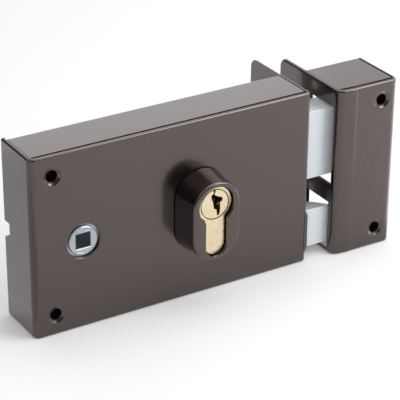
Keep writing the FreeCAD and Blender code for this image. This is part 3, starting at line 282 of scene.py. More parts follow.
def lathe_rings(nodes, links, place, scale, distortion):
    """The rings that a lathe tool leaves round the Y axis"""
    rings = nodes.new("ShaderNodeTexWave")
    rings.wave_type = "RINGS"
    rings.rings_direction = "Y"
    set_inputs(rings, {"Scale": scale, "Distortion": distortion})
    links.new(place, rings.inputs["Vector"])
    return rings.outputs["Fac"]


def between(nodes, links, pattern, middle, to_low, to_high):
    """Map the middle part of a pattern to a range, without going past its ends"""
    node = nodes.new("ShaderNodeMapRange")
    low, high = middle
    set_inputs(node, {"From Min": low, "From Max": high, "To Min": to_low, "To Max": to_high})
    links.new(pattern, node.inputs["Value"])
    return node.outputs["Result"]


def two_colours(nodes, links, shader, pattern, first, second, middle=MIDDLE):
    mix = nodes.new("ShaderNodeMix")
    mix.data_type = "RGBA"
    set_inputs(mix, {"A": (*first, 1), "B": (*second, 1)})
    links.new(between(nodes, links, pattern, middle, 0, 1), mix.inputs["Factor"])
    links.new(mix.outputs["Result"], shader.inputs["Base Color"])


def vary_roughness(nodes, links, shader, pattern, smoothest, roughest):
    roughness = between(nodes, links, pattern, MIDDLE, smoothest, roughest)
    links.new(roughness, shader.inputs["Roughness"])


def bumps(nodes, links, shader, layers):
    """Stack bump maps: each layer is a height value, a strength and a real depth in metres"""
    normal = None
    for height, strength, depth in layers:
        bump = nodes.new("ShaderNodeBump")
        set_inputs(bump, {"Strength": strength, "Distance": depth})
        links.new(height, bump.inputs["Height"])
        if normal is not None:
            links.new(normal, bump.inputs["Normal"])
        normal = bump.outputs["Normal"]
    links.new(normal, shader.inputs["Normal"])


# %% [markdown]
# The powder coat is a dark brown with fine metal flakes under a clear layer. The flakes give it a
# brown sheen, and the clear layer adds white reflections that grow where the surface turns away.
# Baked powder never lies quite flat, so a shallow orange-peel bump of about a millimetre breaks up
# its reflections, with single flakes much finer than that.

# %% Brown powder coat
def brown_powder_coat():
    material, nodes, links, shader = new_material("brown_powder_coat")
    place = object_place(nodes, links)
    flakes = noise(nodes, links, place, scale=2600.0, detail=1.0)
    clouds = noise(nodes, links, place, scale=45.0, detail=3.0)
    peel = noise(nodes, links, place, scale=620.0)
    two_colours(nodes, links, shader, flakes, (0.056, 0.042, 0.038), (0.086, 0.066, 0.060),
                middle=(0.35, 0.70))
    vary_roughness(nodes, links, shader, clouds, 0.22, 0.28)
    set_inputs(shader, {"Metallic": 0.97, "Coat Weight": 0.9, "Coat Roughness": 0.12})
    bumps(nodes, links, shader, [(peel, 0.10, 0.06 * MM), (flakes, 0.06, 0.02 * MM)])
    return material


# %% [markdown]
# The cylinder is turned brass. Its end faces carry the rings of the lathe tool, and the flat side
# of the leg was milled. The rings are a wave that runs round the cylinder's own axis.

# %% Brass
def turned_brass():
    material, nodes, links, shader = new_material("turned_brass")
    place = object_place(nodes, links)
    rings = lathe_rings(nodes, links, place, scale=900.0, distortion=0.6)
    stain = noise(nodes, links, place, scale=260.0, detail=3.0)
    two_colours(nodes, links, shader, stain, (0.70, 0.585, 0.395), (0.78, 0.665, 0.47),
                middle=(0.35, 0.70))
    vary_roughness(nodes, links, shader, stain, 0.22, 0.32)
    set_inputs(shader, {"Metallic": 1.0})
    bumps(nodes, links, shader, [(rings, 0.08, 0.02 * MM), (stain, 0.05, 0.05 * MM)])
    return material


# %% [markdown]
# The bolts are drawn steel bars with a pale zinc plating. Drawing leaves fine lines along the bar,
# and the plating is satin with a faint blue tone: more a white coat than a mirror. Noise that is
# stretched a hundredfold along X makes such lines.

# %% Plated bolts
def plated_bolt():
    material, nodes, links, shader = new_material("plated_bolt")
    stretched = object_place(nodes, links, scale=(10.0, 1000.0, 1000.0))
    lines = noise(nodes, links, stretched, scale=4.0, detail=3.0, roughness=0.6)
    broad = noise(nodes, links, object_place(nodes, links), scale=110.0)
    two_colours(nodes, links, shader, lines, (0.67, 0.71, 0.75), (0.75, 0.79, 0.83),
                middle=(0.35, 0.65))
    vary_roughness(nodes, links, shader, broad, 0.30, 0.38)
    set_inputs(shader, {"Metallic": 0.1})
    bumps(nodes, links, shader, [(lines, 0.12, 0.02 * MM)])
    return material


# %% [markdown]
# The hub that takes the handle's spindle is die-cast zinc with a machined face, duller and greyer
# than the bolts. Its tool marks are rings round the spindle's axis, which the frame gives.

# %% Cast zinc
def cast_zinc():
    material, nodes, links, shader = new_material("cast_zinc")
    on_spindle = object_place(nodes, links, centre=mounts["spindle_square"]["pos_m"])
    rings = lathe_rings(nodes, links, on_spindle, scale=700.0, distortion=1.5)
    grain = noise(nodes, links, object_place(nodes, links), scale=900.0, detail=3.0)
    two_colours(nodes, links, shader, grain, (0.37, 0.40, 0.43), (0.47, 0.50, 0.53))
    set_inputs(shader, {"Metallic": 1.0, "Roughness": 0.36})
    bumps(nodes, links, shader, [(rings, 0.18, 0.03 * MM), (grain, 0.1, 0.03 * MM)])
    return material


# %% [markdown]
# Inside, the pressed parts are zinc-plated, the springs are drawn spring steel and the screws have
# plain zinc heads. The spacer tubes, which show at the bottom of the front holes, are steel painted
# nearly black: that tone is painted shade, so that the bottom of those holes reads dark. These four
# differ in their darker and lighter tone, in how smooth and how rough they are at most, and in how
# fine their grain is, so one function makes them all from a table.

# %% Plain metals
PLAIN_METALS = {
    "zinc_plated_steel": ((0.52, 0.53, 0.53), (0.64, 0.65, 0.65), 0.30, 0.42, 500.0),
    "spring_steel": ((0.34, 0.35, 0.37), (0.45, 0.46, 0.48), 0.25, 0.35, 900.0),
    "screw_steel": ((0.55, 0.55, 0.56), (0.68, 0.68, 0.69), 0.24, 0.34, 700.0),
    # The spacer tubes' steel is painted nearly black: painted shade for the bottom of the front holes.
    "burnished_steel": ((0.035, 0.035, 0.04), (0.06, 0.06, 0.065), 0.35, 0.5, 500.0),
}


def plain_metal(name, dark, light, smoothest, roughest, grain_scale):
    material, nodes, links, shader = new_material(name)
    grain = noise(nodes, links, object_place(nodes, links), grain_scale, detail=3.0)
    two_colours(nodes, links, shader, grain, dark, light)
    vary_roughness(nodes, links, shader, grain, smoothest, roughest)
    set_inputs(shader, {"Metallic": 1.0})
    bumps(nodes, links, shader, [(grain, 0.08, 0.02 * MM)])
    return material


FINISHES = {
    "brown_paint": brown_powder_coat(),
    "brass": turned_brass(),
    "plated_bolt": plated_bolt(),
    "cast_zinc": cast_zinc(),
}
for name, settings in PLAIN_METALS.items():
    FINISHES[name] = plain_metal(name, *settings)
slot_of = {part["node"]: part["material_slot"] for part in frame["record"]["subparts"]}
for name, node in frame["nodes"].items():
    # The spacer tubes take the nearly black steel, painted shade for the bottom of the holes, in place
    # of their own slot.
    finish = "burnished_steel" if name.endswith("_tubes") else slot_of[name]
    node.data.materials.clear()
    node.data.materials.append(FINISHES[finish])
print("finishes:", ", ".join(FINISHES))

# %% [markdown]
# ## How the pieces are modelled
# Every piece starts as a primitive at its real place, and is shaped as it would be by hand in edit
# mode. An operator works on whatever is selected, so one helper leaves a single piece selected,
# and another selects faces or edges of it by where they are or where they look.

# %% Modelling helpers
NEAR = 0.01 * MM
RIGHT = Vector((1, 0, 0))
REAR = Vector((0, 1, 0))
UP = Vector((0, 0, 1))


def only(*pieces):
    bpy.ops.object.select_all(action="DESELECT")
    for piece in pieces:
        piece.select_set(True)
    bpy.context.view_layer.objects.active = pieces[-1]


def named(name):
    """Name the primitive that was just added, and move its place into its mesh"""
    piece = bpy.context.object
    piece.name = piece.data.name = name
    bpy.ops.object.transform_apply(location=True, rotation=True, scale=True)
    return piece


def start_box(name, low, high):
    low, high = Vector(low), Vector(high)
    bpy.ops.object.select_all(action="DESELECT")
    bpy.ops.mesh.primitive_cube_add(size=1, location=(low + high) / 2, scale=high - low)
    return named(name)


def same(value, target):
    return abs(value - target) < NEAR


def at(**place):
    """A test for an edge or corner that lies at these coordinates, such as x=LEFT"""
    return lambda *ends: all(
        same(getattr(end, axis), value) for end in ends for axis, value in place.items())


def facing(*ways):
    """A test for a face that looks one of these ways, give or take 60 degrees"""
    return lambda normal: any(normal.dot(way) > 0.5 for way in ways)


def choose(piece, kind, test):
    """Go into edit mode with only those faces, edges or corners selected that pass the test.

    A face's test gets its normal, an edge's its two ends, a corner's its place."""
    only(piece)
    bpy.ops.object.mode_set(mode="EDIT")
    bpy.ops.mesh.select_mode(type=kind)
    bpy.ops.mesh.select_all(action="DESELECT")
    bpy.ops.object.mode_set(mode="OBJECT")
    corners = piece.data.vertices
    if kind == "FACE":
        for face in piece.data.polygons:
            face.select = test(face.normal)
    elif kind == "VERT":
        for corner in corners:
            corner.select = test(corner.co)
    else:
        for edge in piece.data.edges:
            a, b = edge.vertices
            edge.select = test(corners[a].co, corners[b].co)
    bpy.ops.object.mode_set(mode="EDIT")


def done():
    bpy.ops.object.mode_set(mode="OBJECT")


def edit(piece, kind, test, operator, **settings):
    """Run one operator on the faces, edges or corners that pass the test"""
    choose(piece, kind, test)
    operator(**settings)
    done()


def edit_all(piece, operator, **settings):
    """Run one operator on all of a piece's mesh"""
    only(piece)
    bpy.ops.object.mode_set(mode="EDIT")
    bpy.ops.mesh.select_all(action="SELECT")
    operator(**settings)
    done()


def push(step):
    """Extrude what is selected by a step"""
    bpy.ops.mesh.extrude_region_move(TRANSFORM_OT_translate={"value": step})


def round_edges(piece, width, segments, test):
    edit(piece, "EDGE", test, bpy.ops.mesh.bevel, offset=width, segments=segments, affect="EDGES")


def use(piece, kind, **settings):
    """Add one modifier with these settings and apply it"""
    only(piece)
    bpy.ops.object.modifier_add(type=kind)
    modifier = piece.modifiers[-1]
    for name, value in settings.items():
        setattr(modifier, name, value)
    bpy.ops.object.modifier_apply(modifier=modifier.name)


def combine(piece, tool, operation="DIFFERENCE"):
    use(piece, "BOOLEAN", operation=operation, object=tool, solver="EXACT")
    bpy.data.objects.remove(tool, do_unlink=True)
    return piece


def cut_all(piece, tools):
    for tool in tools:
        combine(piece, tool)


print("smallest distance that counts:", NEAR / MM, "mm")

# %% [markdown]
# Holes, collars and dimples are turned shapes. A circle is added where the first ring lies, then
# it is extruded along the axis and scaled to the next ring, over and over, as on a lathe. Every
# cutter starts a little way outside the face that it cuts, because a cut whose end lies in the
# same plane as that face leaves slivers.

# %% Turned shapes
SIDES = 48
PIN_SIDES = 24
OVERCUT = 1.0 * MM
THROUGH = 3.0 * MM
TURN_TO_AXIS = {"X": (0, math.pi / 2, 0), "Y": (math.pi / 2, 0, 0), "Z": (0, 0, 0)}


def turned(name, centre, rings, axis="Y", sides=SIDES):
    """A solid turned about an axis through the centre; each ring is its place there and radius"""
    along = Vector([letter == axis for letter in "XYZ"])
    across = Vector((1, 1, 1)) - along
    line = Vector(centre) * across
    place, radius = rings[0]
    bpy.ops.object.select_all(action="DESELECT")
    bpy.ops.mesh.primitive_circle_add(
        vertices=sides, radius=radius, fill_type="NGON",
        location=line + along * place, rotation=TURN_TO_AXIS[axis])
    piece = named(name)
    bpy.ops.object.mode_set(mode="EDIT")
    bpy.ops.mesh.select_all(action="SELECT")
    for next_place, next_radius in rings[1:]:
        push(along * (next_place - place))
        factor = across * (next_radius / radius) + along
        bpy.ops.transform.resize(value=factor, center_override=line + along * next_place)
        place, radius = next_place, next_radius
    bpy.ops.mesh.select_all(action="SELECT")
    bpy.ops.mesh.normals_make_consistent(inside=False)
    done()
    return piece


def drilled(centre, radius, start, end, axis="Y", sides=SIDES):
    return turned("drill", centre, [(start, radius), (end, radius)], axis, sides)


def sunk_hole(centre, face, outward, hole, head, sink, axis="X"):
    """A countersunk cutter in a face that looks outward, 1 or -1, along the axis"""
    flare = (head - hole) / sink
    rings = [(face + outward * OVERCUT, head + flare * OVERCUT), (face - outward * sink, hole),
             (face - outward * THROUGH, hole)]
    return turned("sink", centre, rings, axis)


print("a full turn has", SIDES, "sides")

# %% [markdown]
# A finished sheet or casting has no razor edges. This helper merges what the cuts left double,
# joins flat faces again, rounds every sharp edge by 0.08 to 0.3 mm and shades the curved parts
# smooth. Weighted normals keep the large flat faces flat right up to their rounded edges. It also
# counts open edges, which a closed solid doesn't have.

# %% Finish a piece
DOUBLE = 0.001 * MM
FLAT = math.radians(0.5)
SHARP = math.radians(35)


def finish_piece(piece, body, slot, replaced, rounding=0.15 * MM, segments=2):
    edit_all(piece, bpy.ops.mesh.remove_doubles, threshold=DOUBLE)
    edit_all(piece, bpy.ops.mesh.dissolve_limited, angle_limit=FLAT)
    use(piece, "BEVEL", width=rounding, segments=segments, limit_method="ANGLE",
        angle_limit=SHARP, use_clamp_overlap=False)
    bpy.ops.object.shade_smooth_by_angle(angle=SHARP)
    use(piece, "WEIGHTED_NORMAL", keep_sharp=True)
    piece.data.materials.clear()
    piece.data.materials.append(FINISHES[slot])
    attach(piece, body)
    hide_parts(replaced)
    uses = Counter(key for face in piece.data.polygons for key in face.edge_keys)
    open_edges = sum(count != 2 for count in uses.values())
    print(f"{piece.name}: {len(piece.data.polygons)} faces, {open_edges} open edges")


# %% [markdown]
# Some outlines are neither round nor square. Such a shape is drawn point by point: a plane is
# merged to a single corner, the corner is extruded from point to point, the last point is joined
# to the first, and the filled face is pushed along Y.

# %% Drawn shapes
def drawn_solid(name, outline, y0, y1):
    """A solid whose outline is drawn point by point on an XZ plane and pushed along Y"""
    bpy.ops.object.select_all(action="DESELECT")
    x, z = outline[0]
    bpy.ops.mesh.primitive_plane_add(size=MM, location=(x, y0, z))
    piece = named(name)
    bpy.ops.object.mode_set(mode="EDIT")
    bpy.ops.mesh.select_mode(type="VERT")
    bpy.ops.mesh.select_all(action="SELECT")
    bpy.ops.mesh.merge(type="CENTER")
    for next_x, next_z in outline[1:]:
        step = (next_x - x, 0, next_z - z)
        bpy.ops.mesh.extrude_vertices_move(TRANSFORM_OT_translate={"value": step})
        x, z = next_x, next_z
    done()
    ends = [piece.data.vertices[i].co.copy() for i in (0, -1)]
    choose(piece, "VERT", lambda corner: corner in ends)
    bpy.ops.mesh.edge_face_add()
    bpy.ops.mesh.select_all(action="SELECT")
    bpy.ops.mesh.edge_face_add()
    push((0, y1 - y0, 0))
    bpy.ops.mesh.select_all(action="SELECT")
    bpy.ops.mesh.normals_make_consistent(inside=False)
    done()
    return piece


print("drawn shapes have one corner for each point")

# %% [markdown]
# The hole for the cylinder has the same outline in the cover, the back wall and the guard: a round
# barrel with a straight leg that ends round. One function makes that outline, a little larger all
# round for a cut-out and at its own size for the cylinder itself. Angles are counted from straight
# down, so the barrel's arc starts and ends where the leg meets it.

# %% The profile of the cylinder
cylinder_low, cylinder_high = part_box("cylinder_body")
BARREL = cylinder_high.z
LEG = 5.0 * MM
LEG_BOTTOM = cylinder_low.z
PROFILE_PLAY = 0.5 * MM
BARREL_STEPS = 40
FOOT_STEPS = 20
AXIS = (0, 0, 0)


def profile_solid(name, extra, y0, y1):
    barrel = BARREL + extra
    leg = LEG + extra
    foot_z = LEG_BOTTOM + LEG
    start = math.asin(leg / barrel)
    sweep = 2 * (math.pi - start)
    outline = []
    for i in range(BARREL_STEPS + 1):
        angle = start + sweep * i / BARREL_STEPS
        outline.append((barrel * math.sin(angle), -barrel * math.cos(angle)))
    for i in range(FOOT_STEPS + 1):
        angle = math.pi * i / FOOT_STEPS
        outline.append((-leg * math.cos(angle), foot_z - leg * math.sin(angle)))
    return drawn_solid(name, outline, y0, y1)


print(f"cylinder {2 * BARREL / MM:.1f} wide, {(BARREL - LEG_BOTTOM) / MM:.1f} high")

# %% [markdown]
# ## Case cover
# The cover is one sheet, bent twice: left side, front and faceplate. It could be three plates, but
# a bend has no seam, so it starts as a box with its back, top and bottom removed. The faceplate's
# rear edge is extruded for the tail that lies on the door's edge, its corners and the two bends
# are bevels, the faceplate's bend tighter than the other, and Solidify gives the sheet its
# thickness inwards. The outer rim gets a rounder edge than the rest, because thick powder gathers
# there and catches the light in a thin bright line.

# %% Bent sheets
BEND_STEPS = 10
EDGE_STEPS = 4
RIM = 1.2 * MM
TAIL_CORNER = 4.3 * MM


def open_box(name, low, high, *open_ways):
    """A box without the faces that look these ways"""
    box = start_box(name, low, high)
    edit(box, "FACE", facing(*open_ways), bpy.ops.mesh.delete, type="FACE")
    return box


def open_sheet(name, low, high, tail_x, tail):
    """A front with two sides. The side at tail_x runs on behind as a plate"""
    sheet = open_box(name, low, high, REAR, UP, -UP)
    rear_edge = at(x=tail_x, y=high[1])
    edit(sheet, "EDGE", rear_edge, push, step=(0, tail - high[1], 0))
    edit(sheet, "EDGE", rear_edge, bpy.ops.mesh.dissolve_edges)
    return sheet


def round_tail(sheet, tail, corner):
    edit(sheet, "EDGE", at(y=tail), bpy.ops.mesh.bevel,
         offset=corner, segments=BEND_STEPS, affect="VERTICES")


def give_thickness(sheet):
    """Thicken a sheet inwards, and return a test for points on its outer skin"""
    skin = [corner.co.copy() for corner in sheet.data.vertices]
    use(sheet, "SOLIDIFY", thickness=SHEET, offset=-1, use_even_offset=True)
    return lambda point: any((point - place).length < NEAR for place in skin)


def round_rim(sheet, on_skin, tail_start):
    round_edges(sheet, RIM, EDGE_STEPS, lambda a, b: on_skin(a) and on_skin(b) and (
        same(a.z, b.z) or min(a.y, b.y) > tail_start - NEAR))


cover = open_sheet("case_cover_shell", (LEFT, FRONT, BOTTOM), (FACE, 0, TOP), FACE, TAIL)
round_edges(cover, BEND, BEND_STEPS, at(x=LEFT, y=FRONT))
round_edges(cover, FACE_BEND, BEND_STEPS, at(x=FACE, y=FRONT))
round_tail(cover, TAIL, TAIL_CORNER)
on_cover_skin = give_thickness(cover)
round_rim(cover, on_cover_skin, TAIL - TAIL_CORNER)
print("cover sheet:", len(cover.data.polygons), "faces")

# %% [markdown]
# Round the latch the faceplate is pressed out by less than a millimetre, which shows as a slight
# bulge in the outline of the case. A block with sloped ends is joined to the sheet from outside
# and a smaller one takes the same shape away inside.

# %% Case cover: the bulge round the latch
BULGE_TOP = -24.6 * MM
BULGE_BOTTOM = -44.4 * MM
BULGE_SLOPE = 1.6 * MM
BULGE_LENGTH = 20.5 * MM
BULGE_EDGE = 1.0 * MM
BULGE_MIDDLE = (BULGE_TOP + BULGE_BOTTOM) / 2


def bulge(inset):
    root = FACE - SHEET
    out = case_high.x - inset
    slope = BULGE_SLOPE / BULGE_PROUD
    narrow = (BULGE_TOP - BULGE_BOTTOM) / 2 - inset - slope * (out - FACE)
    wide = narrow + slope * (out - root)
    piece = start_box(
        "bulge", (root, FRONT + inset, BULGE_MIDDLE - wide),
        (out, FRONT + BULGE_LENGTH - inset, BULGE_MIDDLE + wide))
    edit(piece, "FACE", facing(RIGHT), bpy.ops.transform.resize,
         value=(1, 1, narrow / wide), center_override=(0, 0, BULGE_MIDDLE))
    return piece


outer_bulge = bulge(0)
round_edges(outer_bulge, BULGE_EDGE, EDGE_STEPS,
            lambda a, b: at(y=FRONT)(a, b) and max(a.x, b.x) > FACE + NEAR)
combine(cover, outer_bulge, "UNION")
combine(cover, bulge(SHEET))
print(f"bulge stands {BULGE_PROUD / MM:.1f} mm proud")

# %% [markdown]
# Now the openings are cut: the two bolts, the cylinder, the hub, two dimpled screw holes at the
# left, countersunk holes in the faceplate, and the notch in the left edge. The bolts' own boxes,
# grown by their play, give the places of their openings. The edge of a pressed dimple is a smooth
# wave and not a cone, so its rings come from a cosine. Round holes are given by their radius.

# %% Case cover: openings
BOLT_PLAY = 0.4 * MM
HOLE = 2.75 * MM
DIMPLE = 4.6 * MM
DIMPLE_DEPTH = 0.8 * MM
DIMPLE_STEPS = 7
HUB_HOLE = 8.0 * MM
HUB_LIP = 0.45 * MM
EDGE_HOLE = 2.5 * MM
EDGE_HEAD = 4.3 * MM
EDGE_SINK = 0.9 * MM
CAM_Y = -8.5 * MM
CYLINDER_SCREW = (0, CAM_Y, -19.3 * MM)
CYLINDER_SCREW_HOLE = 2.9 * MM
CYLINDER_SCREW_HEAD = 4.5 * MM
CYLINDER_SCREW_SINK = 1.6 * MM
GUARD_SCREW_PLACES = [(x, 0, -16.0 * MM) for x in (-9.3 * MM, 9.3 * MM)]
GUARD_SCREW = 1.5 * MM
GUARD_SCREW_PLAY = 0.15 * MM
NOTCH_TOP = -3.0 * MM
NOTCH_HEIGHT = 5.1 * MM
NOTCH_DEPTH = 4.6 * MM
NOTCH_SLOPE = 2.7 * MM


def hole_pair(mount):
    """The two places of a bolt pattern whose holes are spaced along Z"""
    x, y, z = mounts[mount]["pos_m"]
    half = mounts[mount]["dims"]["spacing_y_mm"] * MM / 2
    return [(x, y, z - half), (x, y, z + half)]


def dimpled_hole(place, face):
    """A cutter that goes in at the face with a soft dimple and on as a plain hole"""
    rings = [(face - OVERCUT, DIMPLE), (face, DIMPLE)]
    for i in range(1, DIMPLE_STEPS + 1):
        share = i / DIMPLE_STEPS
        wave = (1 - math.cos(math.pi * share)) / 2
        rings.append((face + DIMPLE_DEPTH * wave, DIMPLE + (HOLE - DIMPLE) * share))
    rings.append((face + THROUGH, HOLE))
    return turned("dimple", place, rings)


def bolt_opening(node):
    low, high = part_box(node)
    return start_box("opening", (FACE - THROUGH, low.y - BOLT_PLAY, low.z - BOLT_PLAY),
                     (FACE + THROUGH, high.y + BOLT_PLAY, high.z + BOLT_PLAY))


def left_notch():
    """The notch in the left rear edge. Its lower side runs down towards the door"""
    bottom = NOTCH_TOP - NOTCH_HEIGHT
    tool = start_box("notch", (LEFT - OVERCUT, -NOTCH_DEPTH, bottom),
                     (LEFT + SHEET + NOTCH_DEPTH, NOTCH_DEPTH, NOTCH_TOP))
    edit(tool, "EDGE", at(y=NOTCH_DEPTH, z=bottom), bpy.ops.transform.translate,
         value=(0, 0, -2 * NOTCH_SLOPE))
    return tool


hub = mounts["spindle_square"]["pos_m"]
hub_rings = [(FRONT - OVERCUT, HUB_HOLE + HUB_LIP), (FRONT, HUB_HOLE + HUB_LIP),
             (FRONT + HUB_LIP / 3, HUB_HOLE + HUB_LIP / 3), (FRONT + HUB_LIP, HUB_HOLE),
             (FRONT + THROUGH, HUB_HOLE)]
cut_all(cover, [
    turned("hub_hole", hub, hub_rings),
    profile_solid("cylinder_hole", PROFILE_PLAY, FRONT - OVERCUT, FRONT + THROUGH),
    bolt_opening("deadbolt"),
    bolt_opening("latch_bolt"),
    sunk_hole(CYLINDER_SCREW, FACE, 1, CYLINDER_SCREW_HOLE, CYLINDER_SCREW_HEAD, CYLINDER_SCREW_SINK),
    left_notch(),
])
cut_all(cover, [dimpled_hole(place, FRONT) for place in hole_pair("case_fixing_holes")])
cut_all(cover, [sunk_hole(place, FACE, 1, EDGE_HOLE, EDGE_HEAD, EDGE_SINK)
                for place in hole_pair("faceplate_screw_holes")])
cut_all(cover, [drilled(place, GUARD_SCREW + GUARD_SCREW_PLAY, FRONT - OVERCUT, FRONT + THROUGH)
                for place in GUARD_SCREW_PLACES])
finish_piece(cover, "case", "brown_paint", "case_cover", rounding=0.2 * MM)

# %% [markdown]
# ## Back wall
# The second sheet of the case is a back wall with a flap at the top and one at the bottom. It sits
# inside the cover with a narrow gap all round, and that gap is the dark line which runs behind the
# case's front edge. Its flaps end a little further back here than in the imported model, so that the
# line is as wide as on the real lock. It is bent like the cover's left side.

# %% Back wall
BUSH = 9.05 * MM
POST_HEAD = 3.3 * MM
POST_HEAD_PLAY = 0.05 * MM
POST_HOLE = 2.05 * MM
POST_SINK = 1.3 * MM
LOWER_POST_X = -5.0 * MM
SEAM = 0.8 * MM

back_low, back_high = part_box("case_back")
back = open_box("back_wall", back_low + Vector((0, SEAM, 0)), back_high, -REAR, RIGHT, -RIGHT)
round_edges(back, BEND, BEND_STEPS, lambda a, b: at(y=0)(a, b) and same(a.z, b.z))
give_thickness(back)
screws_low, screws_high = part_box("back_screws")
head = POST_HEAD - POST_HEAD_PLAY
post_places = [(screws_low.x + head, 0, screws_high.z - head),
               (screws_high.x - head, 0, screws_high.z - head),
               (LOWER_POST_X, 0, screws_low.z + head)]
cut_all(back, [
    profile_solid("cylinder_hole", PROFILE_PLAY, -THROUGH, OVERCUT),
    drilled(hub, BUSH, -THROUGH, OVERCUT),
    left_notch(),
])
cut_all(back, [drilled(place, HOLE, -THROUGH, OVERCUT) for place in hole_pair("case_fixing_holes")])
cut_all(back, [sunk_hole(place, 0, 1, POST_HOLE, POST_HEAD, POST_SINK, "Y") for place in post_places])
finish_piece(back, "case", "brown_paint", "case_back")

# %% [markdown]
# ## Cylinder guard
# The guard is a cast oval collar round the cylinder, painted with the case. Its sides slope in
# towards its face. An oval with straight sides is a box with its four upright edges beveled by
# nearly half its width, and an inset that is raised at the same time gives the slope, with the same
# amount all round. Its foot is a little smaller, so a thin shadow line runs where it meets the case.

# %% Cylinder guard
GUARD_TAPER = 1.7 * MM
GUARD_ROUND_STEPS = 24
GUARD_EDGE = 0.9 * MM
GUARD_EDGE_STEPS = 5
GUARD_FOOT = 0.6 * MM
GUARD_FOOT_INSET = 0.5 * MM
GUARD_SCREW_DEPTH = 7.0 * MM
SLICE = 0.05 * MM

guard_low, guard_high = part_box("cylinder_guard")
base_y = guard_high.y - GUARD_FOOT
half_width = (guard_high.x - guard_low.x) / 2
guard = start_box("guard_collar", (guard_low.x, base_y - SLICE, guard_low.z),
                  (guard_high.x, base_y, guard_high.z))
round_edges(guard, half_width - NEAR, GUARD_ROUND_STEPS, lambda a, b: not same(a.y, b.y))
edit_all(guard, bpy.ops.mesh.remove_doubles, threshold=3 * NEAR)
edit(guard, "FACE", facing(-REAR), bpy.ops.mesh.inset,
     thickness=GUARD_TAPER, depth=base_y - SLICE - guard_low.y)
choose(guard, "FACE", facing(REAR))
bpy.ops.mesh.inset(thickness=GUARD_FOOT_INSET, depth=0)
push((0, GUARD_FOOT, 0))
done()
combine(guard, profile_solid("cylinder_hole", PROFILE_PLAY, guard_low.y - OVERCUT, FRONT + OVERCUT))


def on_rim(point):
    """On the outer edge of the guard's face, and not on the edge of its opening"""
    middle = (guard_low.z + guard_high.z) / 2
    straight = (guard_high.z - guard_low.z - guard_high.x + guard_low.x) / 2
    beyond = max(abs(point.z - middle) - straight, 0)
    from_spine = math.hypot(point.x, beyond)
    return same(point.y, guard_low.y) and from_spine > guard_high.x - GUARD_TAPER - 5 * NEAR


round_edges(guard, GUARD_EDGE, GUARD_EDGE_STEPS, lambda a, b: on_rim(a) and on_rim(b))
cut_all(guard, [drilled(place, GUARD_SCREW, FRONT - GUARD_SCREW_DEPTH, FRONT + OVERCUT)
                for place in GUARD_SCREW_PLACES])
finish_piece(guard, "case", "brown_paint", "cylinder_guard")

# %% [markdown]
# ## Brass cylinder
# The housing is one bar of the profile shape, bored through for the two plugs, with a gap in the
# middle where the cam turns and a row of five pin chambers drilled up through the leg from each
# end. The five chambers of a half are joined into one tool, because they don't touch.

# %% Cylinder housing
GAP = 5.5 * MM
BRIDGE_TOP = -15.5 * MM
PLUG = 6.5 * MM
PLUG_SEAT = 7.3 * MM
SEAT_DEPTH = 2.2 * MM
CLIP_POCKET = 7.65 * MM
CLIP_POCKET_DEPTH = 1.4 * MM
CYLINDER_SCREW_BORE = 2.55 * MM
PIN = 1.35 * MM
PIN_FIRST = 5.5 * MM
PIN_PITCH = 3.9 * MM
PIN_COUNT = 5
RUNNING = 0.05 * MM


def chambers(end, inward, low, high):
    """Five pin chambers, counted from one end of the cylinder, as one tool"""
    places = [end + inward * (PIN_FIRST + PIN_PITCH * i) for i in range(PIN_COUNT)]
    only(*[drilled((0, y, 0), PIN + RUNNING, low, high, "Z", PIN_SIDES) for y in places])
    bpy.ops.object.join()
    return bpy.context.object


ENDS = ((cylinder_low.y, -1), (cylinder_high.y, 1))
housing = profile_solid("cylinder_housing", 0, cylinder_low.y, cylinder_high.y)
cut_all(housing, [
    start_box("cam_gap", (-BARREL, CAM_Y - GAP, BRIDGE_TOP), (BARREL, CAM_Y + GAP, 2 * BARREL)),
    drilled(AXIS, PLUG + RUNNING, cylinder_low.y - OVERCUT, cylinder_high.y + OVERCUT),
    drilled(CYLINDER_SCREW, CYLINDER_SCREW_BORE, -2 * LEG, 2 * LEG, "X"),
])
for end, outward in ENDS:
    gap_wall = CAM_Y + outward * GAP
    cut_all(housing, [
        drilled(AXIS, PLUG_SEAT, end + outward * OVERCUT, end - outward * SEAT_DEPTH),
        drilled(AXIS, CLIP_POCKET, gap_wall - outward * OVERCUT, gap_wall + outward * CLIP_POCKET_DEPTH),
        chambers(end, -outward, LEG_BOTTOM - OVERCUT, -PLUG + OVERCUT),
    ])
finish_piece(housing, "case", "brass", "cylinder_body", rounding=0.12 * MM)

# %% [markdown]
# ## Plugs
# A plug is turned with a wider face, a long barrel with a groove for its retaining ring, and a
# short tail. The keyway is a winding slot: its outline, given here in millimetres, is drawn point
# by point with extruded corners, filled, pushed along the plug and cut out. The outer plug is the
# same, turned half round.

# %% Plugs with their keyways
PLUG_FACE = 6.95 * MM
PLUG_FACE_THICK = 2.0 * MM
PLUG_CHAMFER = 0.2 * MM
PLUG_TAIL = 5.0 * MM
PLUG_TAIL_LENGTH = 4.0 * MM
PLUG_END = 5.2 * MM
GROOVE = 5.9 * MM
GROOVE_HALF = 0.45 * MM
GROOVE_FROM_CAM = 6.5 * MM
KEYWAY_FROM_CAM = 8.3 * MM
KEY_PIN_TOP = -2.2 * MM
KEYWAY = (
    (-1.2, 8.0), (0.45, 8.0), (0.2, 5.9), (-0.3, 4.6), (1.1, 3.7), (3.9, 2.5), (3.9, 1.0),
    (2.7, 0.4), (2.7, -2.8), (2.4, -5.7), (1.1, -5.7), (0.9, -2.9), (-0.5, -2.0), (-0.9, 1.0),
    (-1.7, 2.9), (-1.8, 4.6), (-0.5, 5.4),
)


